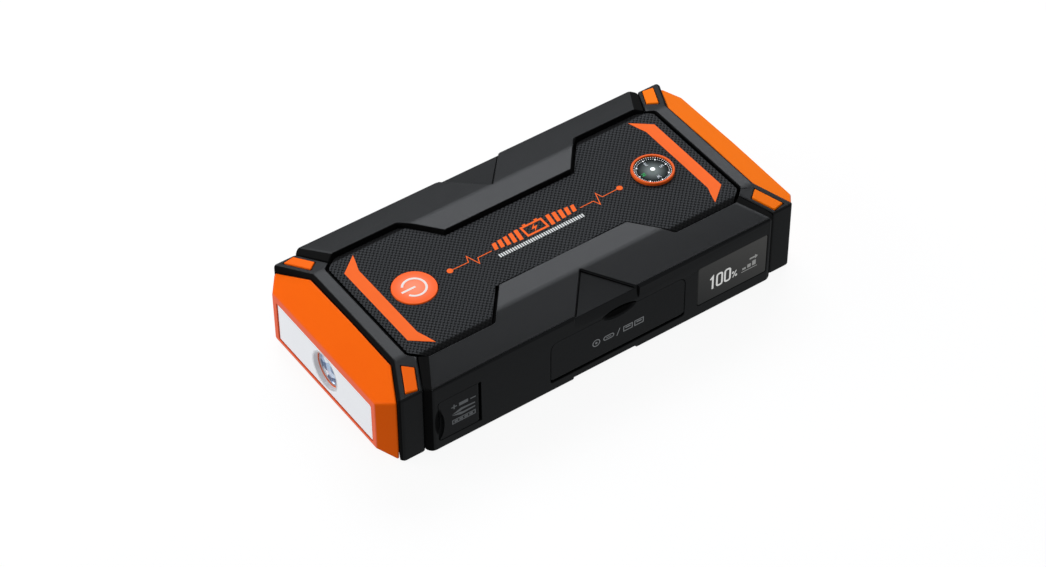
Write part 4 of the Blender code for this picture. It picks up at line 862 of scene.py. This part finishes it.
def compass_marks(finishes):
    """Ticks on the compass card and its cup's rim, four cardinal letters and a jewel in the dome; the
    ticks glow as painted light, and the glowing jewel is a painted highlight of the dome.
    """
    top = on_top(CARD_HIGH.z)
    cx, cy = CARD_MIDDLE.x, CARD_MIDDLE.y
    shape = bmesh.new()
    for step in range(48):
        angle = math.tau * step / 48
        inner, width = (6.35, 0.16) if step % 6 else (6.0, 0.42)
        c, s = math.cos(angle), math.sin(angle)
        line = [(cx + r * MM * c, cy + r * MM * s) for r in (inner, 6.68)]
        add_ribbon(shape, line, width * MM, top, PRINT)
    # painted glow: the card's ticks glow white though no lamp lights them
    piece("compass_scale", shape, finishes["lit_white"], "compass_card")
    shape = bmesh.new()
    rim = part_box("compass_cup")[1].z
    for step in range(48):
        angle = math.tau * step / 48
        c, s = math.cos(angle), math.sin(angle)
        line = [(cx + r * MM * c, cy + r * MM * s) for r in (7.08, 7.37)]
        add_ribbon(shape, line, 0.28 * MM, on_top(rim), PRINT)
    # painted glow on the rim's ticks too
    piece("compass_rim_ticks", shape, finishes["lit_white"], "case")
    for letter, turn in (("N", 180), ("E", 90), ("S", 0), ("W", 270)):
        ink = "north_green" if letter == "N" else "white_print"
        angle = math.radians(turn)
        out = Vector((math.cos(angle), math.sin(angle)))
        side = Vector((out.y, -out.x))
        size = 1.5 * MM
        shape = bmesh.new()
        for stroke in LETTERS[letter]:
            points = []
            for u, v in stroke:
                outwards = out * (4.3 * MM + (v - 0.5) * size)
                points.append(tuple(Vector((cx, cy)) + outwards + side * ((u - 0.35) * size)))
            add_ribbon(shape, points, 0.24 * MM, top, PRINT)
        piece(f"compass_letter_{letter}", shape, finishes[ink], "compass_card")
    # painted highlight: a glowing white jewel, raised towards the dome's crown where its highlight
    # shows
    shape = bmesh.new()
    profile = [(0.05 * MM, 0.0), (0.95 * MM, 0.0), (0.8 * MM, 0.16 * MM), (0.05 * MM, 0.22 * MM)]
    turned(shape, profile, 20, "Z", (cx, cy, CARD_HIGH.z + 0.75 * MM))
    piece("compass_jewel_glint", shape, finishes["lit_white"], "case", smooth=50)


def digit_zero(shape, left, low, width, height, stroke, place):
    """Adds a zero: a tall closed line with round corners."""
    radius = 0.9 * MM
    inset = stroke / 2
    x0, x1 = left + inset, left + width - inset
    z0, z1 = low + inset, low + height - inset
    right, left, top, foot = x1 - radius, x0 + radius, z1 - radius, z0 + radius
    outline = []
    for quarter, middle in enumerate(((right, top), (left, top), (left, foot), (right, foot))):
        outline += arc(middle, radius, 90 * quarter, 90 * quarter + 90, 3)
    add_ribbon(shape, outline, stroke, place, PRINT, closed=True)


def readout(finishes):
    """The display's figures and signs, lit behind the window: full charge, and bars for the output."""
    place = on_near_wall(WINDOW_LOW.y - NEAR_FACE)
    shape = bmesh.new()
    low, height, stroke = 11.9 * MM, 6.9 * MM, 0.8 * MM
    one = [(49.4, 17.2), (50.6, 18.4), (50.6, 11.9)]
    add_ribbon(shape, [(x * MM, z * MM) for x, z in one], stroke, place, PRINT)
    for left in (52.2, 56.1):
        digit_zero(shape, left * MM, low, 3.3 * MM, height, stroke, place)
    percent = (61.2 * MM, 14.0 * MM)
    stroke_ends = [(percent[0] + end * 0.8 * MM, percent[1] + end * 1.6 * MM) for end in (-1, 1)]
    add_ribbon(shape, stroke_ends, 0.35 * MM, place, PRINT)
    for side in (-1, 1):
        middle = (percent[0] - side * 0.75 * MM, percent[1] + side * 1.0 * MM)
        add_ribbon(shape, arc(middle, 0.42 * MM, 0, 330, 11), 0.3 * MM, place, PRINT, closed=True)
    piece("readout", shape, finishes["figure_white"], "case")
    shape = bmesh.new()
    for i in range(3):
        left, foot, top = (65.0 + i * 2.4) * MM, 13.6 * MM, (14.6 + i * 0.7) * MM
        right = left + 1.7 * MM
        add_plate(shape, [(left, foot), (right, foot), (right, top), (left, top)], place, PRINT)
    add_ribbon(shape, [(64.6 * MM, 12.6 * MM), (72.2 * MM, 12.6 * MM)], 0.28 * MM, place, PRINT)
    arrow = [(68.4, 17.4), (71.0, 17.4), (71.0, 16.7), (72.4, 17.8)]
    arrow += [(71.0, 18.9), (71.0, 18.2), (68.4, 18.2)]
    add_plate(shape, [(x * MM, z * MM) for x, z in arrow], place, PRINT)
    piece("readout_signs", shape, finishes["figure_grey"], "case")


def port_icons(finishes):
    """Plain outlines of the sockets under the cover: a round jack, a small slot and a wide slot."""
    shape = bmesh.new()
    place = on_near_wall()
    z = 14.8 * MM
    add_ribbon(shape, arc((-4.6 * MM, z), 1.6 * MM, 0, 345, 23), 0.42 * MM, place, PRINT, closed=True)
    add_plate(shape, arc((-4.6 * MM, z), 0.55 * MM, 0, 330, 11), place, PRINT)
    slot = arc((2.6 * MM, z), 0.95 * MM, -90, 90, 6) + arc((-0.2 * MM, z), 0.95 * MM, 90, 270, 6)
    add_ribbon(shape, slot, 0.4 * MM, place, PRINT, closed=True)
    add_ribbon(shape, [(0.0, z), (2.4 * MM, z)], 0.3 * MM, place, PRINT)
    add_ribbon(shape, [(5.0 * MM, z - 1.7 * MM), (6.4 * MM, z + 1.7 * MM)], 0.36 * MM, place, PRINT)
    for left in (8.2, 13.4):
        x0, x1 = left * MM, (left + 4.0) * MM
        low, high = z - 1.2 * MM, z + 1.2 * MM
        outline = [(x0, low), (x1, low), (x1, high), (x0, high)]
        add_ribbon(shape, outline, 0.4 * MM, place, PRINT, closed=True)
        x0, x1, high = x0 + 0.8 * MM, x1 - 0.8 * MM, z + 0.55 * MM
        add_plate(shape, [(x0, z), (x1, z), (x1, high), (x0, high)], place, PRINT)
    piece("port_icons", shape, finishes["grey_print"], "port_cover")


def jumper_icons(finishes):
    """A plus and a minus beside a bar, a pair of clamp jaws, and a battery outline, in three rows."""
    shape = bmesh.new()
    place = on_near_wall()
    x = -64.9 * MM

    def plate(points, middle):
        add_plate(shape, [(x + u * MM, (middle + v) * MM) for u, v in points], place, PRINT)

    def bar(left, right, middle, half):
        plate([(left, -half), (right, -half), (right, half), (left, half)], middle)

    bar(-5.4, -3.0, 19.6, 0.26)
    bar(-4.46, -3.94, 20.33, 0.4)
    bar(-4.46, -3.94, 18.87, 0.4)
    bar(-2.0, 2.0, 19.6, 0.8)
    bar(3.0, 5.4, 19.6, 0.26)
    jaw = [(-5.2, 0.25), (-1.2, 1.75), (4.9, 1.3), (5.2, 0.7), (-0.4, 0.65), (-1.8, 0.25)]
    for side in (-1, 1):
        plate([(u, side * v) for u, v in jaw], 15.6)
    box_line = [(-5.0, 10.8), (5.0, 10.8), (5.0, 12.6), (-5.0, 12.6)]
    add_ribbon(shape, [(x + u * MM, v * MM) for u, v in box_line], 0.45 * MM, place, PRINT, closed=True)
    for left in (-4.2, -2.0, 0.2, 2.4):
        bar(left, left + 1.6, 11.7, 0.45)
    piece("jumper_icons", shape, finishes["faint_print"], "jumper_cover")


def torch_optic(finishes):
    """A faceted optic behind the torch's lens, with a thin orange ring round it."""
    lens_low, lens_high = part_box("torch_lens")
    centre = (lens_low + lens_high) / 2
    face = lens_high.x + 0.1 * MM
    rings = [(1.6, -0.1), (3.4, 0.3), (5.2, 0.2), (7.1, 0.7)]
    count = 14
    shape = bmesh.new()
    hub = shape.verts.new((face, centre.y, centre.z))
    loops = []
    for i, (radius, depth) in enumerate(rings):
        loop = []
        for step in range(count):
            angle = math.tau * (step + 0.5 * (i % 2)) / count
            across, up = radius * MM * math.cos(angle), radius * MM * math.sin(angle)
            uneven = 0.12 * MM * math.sin(7.0 * step + 3.0 * i)
            loop.append(shape.verts.new((face + depth * MM + uneven, centre.y + across, centre.z + up)))
        loops.append(loop)
    for step in range(count):
        shape.faces.new((hub, loops[0][step - 1], loops[0][step]))
    for i in range(len(loops) - 1):
        a, b = loops[i], loops[i + 1]
        for step in range(count):
            after = (step + 1) % count
            if i % 2 == 0:
                shape.faces.new((a[step], b[step], a[after]))
                shape.faces.new((a[after], b[step], b[after]))
            else:
                shape.faces.new((a[step], b[step], b[after]))
                shape.faces.new((a[step], b[after], a[after]))
    made = piece("torch_optic", shape, finishes["optic"], "case")
    sheet = made.modifiers.new("sheet", "SOLIDIFY")
    sheet.thickness = 0.15 * MM
    # a thin orange ring round the optic
    shape = bmesh.new()
    rim = 7.45 * MM
    profile = [(rim, -0.45 * MM), (rim + 0.3 * MM, -0.45 * MM), (rim + 0.3 * MM, 0.0), (rim, 0.0)]
    turned(shape, profile, 40, "X", (lens_high.x, centre.y, centre.z))
    piece("torch_ring", shape, finishes["decal"], "case", smooth=35)


def lens_seal(finishes):
    """Painted shade: a thin dark red line between the lamp's diffuser and the cap, standing for the
    cap's recess wall in shade.
    """
    inset = 0.05 * MM
    y, low, high = LENS_HIGH.y - inset, LENS_LOW.z + inset, LENS_HIGH.z - inset
    shape = bmesh.new()
    outline = [(-y, low), (y, low), (y, high), (-y, high)]
    add_ribbon(shape, outline, 0.5 * MM, on_lamp_end(LENS_LOW.x), PRINT, closed=True)
    piece("lens_seal", shape, finishes["lens_seal"], "case")


def case_height(y):
    """The height of the case's top: flat in the middle, with slopes to both side walls."""
    return CAD_HIGH.z - max(0.0, abs(y) - FLAT_HALF_WIDTH) * SLOPE_FALL


def shadow_lines(finishes):
    """Painted shade: thin black lines along the inner edges of the rails and bumpers, and along the
    sunk triangles, where shade falls.
    """
    depth, thickness = 0.12 * MM, 0.03 * MM

    def on_case(u, v, h):
        return Vector((u, v, case_height(v) - depth + h))

    def on_sunk(u, v, h):
        return Vector((u, v, case_height(v) - 0.98 * MM + h))

    shape = bmesh.new()
    rail = [(70.0, 32.9), (55.0, 32.9), (42.4, 32.9), (40.6, 31.2), (38.0, 28.4)]
    rail += [(29.4, 18.0), (14.0, 18.0)]
    for end in (-1, 1):
        for side in (-1, 1):
            points = [(end * x * MM, side * y * MM) for x, y in rail]
            add_ribbon(shape, points, 0.4 * MM, on_case, thickness)
    piece("rail_shadow_lines", shape, finishes["seal"], "case")
    shape = bmesh.new()
    bumper_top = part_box("bumper_front")[1].z
    for end in (-1, 1):
        points = [(end * 77.35 * MM, y * MM) for y in (-26.4, 0.0, 26.4)]
        add_ribbon(shape, points, 0.5 * MM, on_top(bumper_top - depth), thickness)
    piece("bumper_seals", shape, finishes["seal"], "case")
    shape = bmesh.new()
    for side in (-1, 1):
        points = [(x * MM, side * y * MM) for x, y in ((-13.4, 44.8), (0, 29.1), (13.4, 44.8))]
        add_ribbon(shape, points, 0.5 * MM, on_sunk, thickness)
    piece("triangle_shadow_lines", shape, finishes["seal"], "case")


def blank_label(finishes):
    """A plain label under the case, with a border line and nothing printed on it."""
    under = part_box("bottom_cover")[0].z

    def below(u, v, h):
        return Vector((u, v, under - h))

    outline = []
    for x, y, start in ((27, 13, 0), (-27, 13, 90), (-27, -13, 180), (27, -13, 270)):
        outline += arc((x * MM, y * MM), 2.0 * MM, start, start + 90, 5)
    shape = bmesh.new()
    add_plate(shape, outline, below, 0.05 * MM)
    piece("label", shape, finishes["label"], "case")
    shape = bmesh.new()
    border = [(x * 0.95, y * 0.92) for x, y in outline]
    add_ribbon(shape, border, 0.3 * MM, below, 0.08 * MM, closed=True)
    piece("label_border", shape, finishes["seal"], "case")


add_camera()
add_studio()
add_floor()
FINISHES = {**node_finishes(), **detail_finishes()}
dress_nodes(FINISHES)
NODES["compass_bezel"].material_slots[0].material = FINISHES["bezel"]
NODES["bottom_cover"].material_slots[0].material = FINISHES["base"]
refined("main_housing", "housing_shell", "case", FINISHES["shell_black"], 1.3 * MM, CORNER)
for end in ("front", "rear"):
    refined(f"bumper_{end}", f"bumper_{end}_shell", "case", FINISHES["bumper_black"], 1.2 * MM, CORNER)
    refined(f"cap_{end}", f"cap_{end}_shell", "case", FINISHES["cap_orange"], 0.8 * MM, 0.2 * MM)
chevrons(FINISHES)
pulses(FINISHES)
emblem(FINISHES)
power_sign(FINISHES)
compass_marks(FINISHES)
readout(FINISHES)
port_icons(FINISHES)
jumper_icons(FINISHES)
torch_optic(FINISHES)
lens_seal(FINISHES)
shadow_lines(FINISHES)
blank_label(FINISHES)
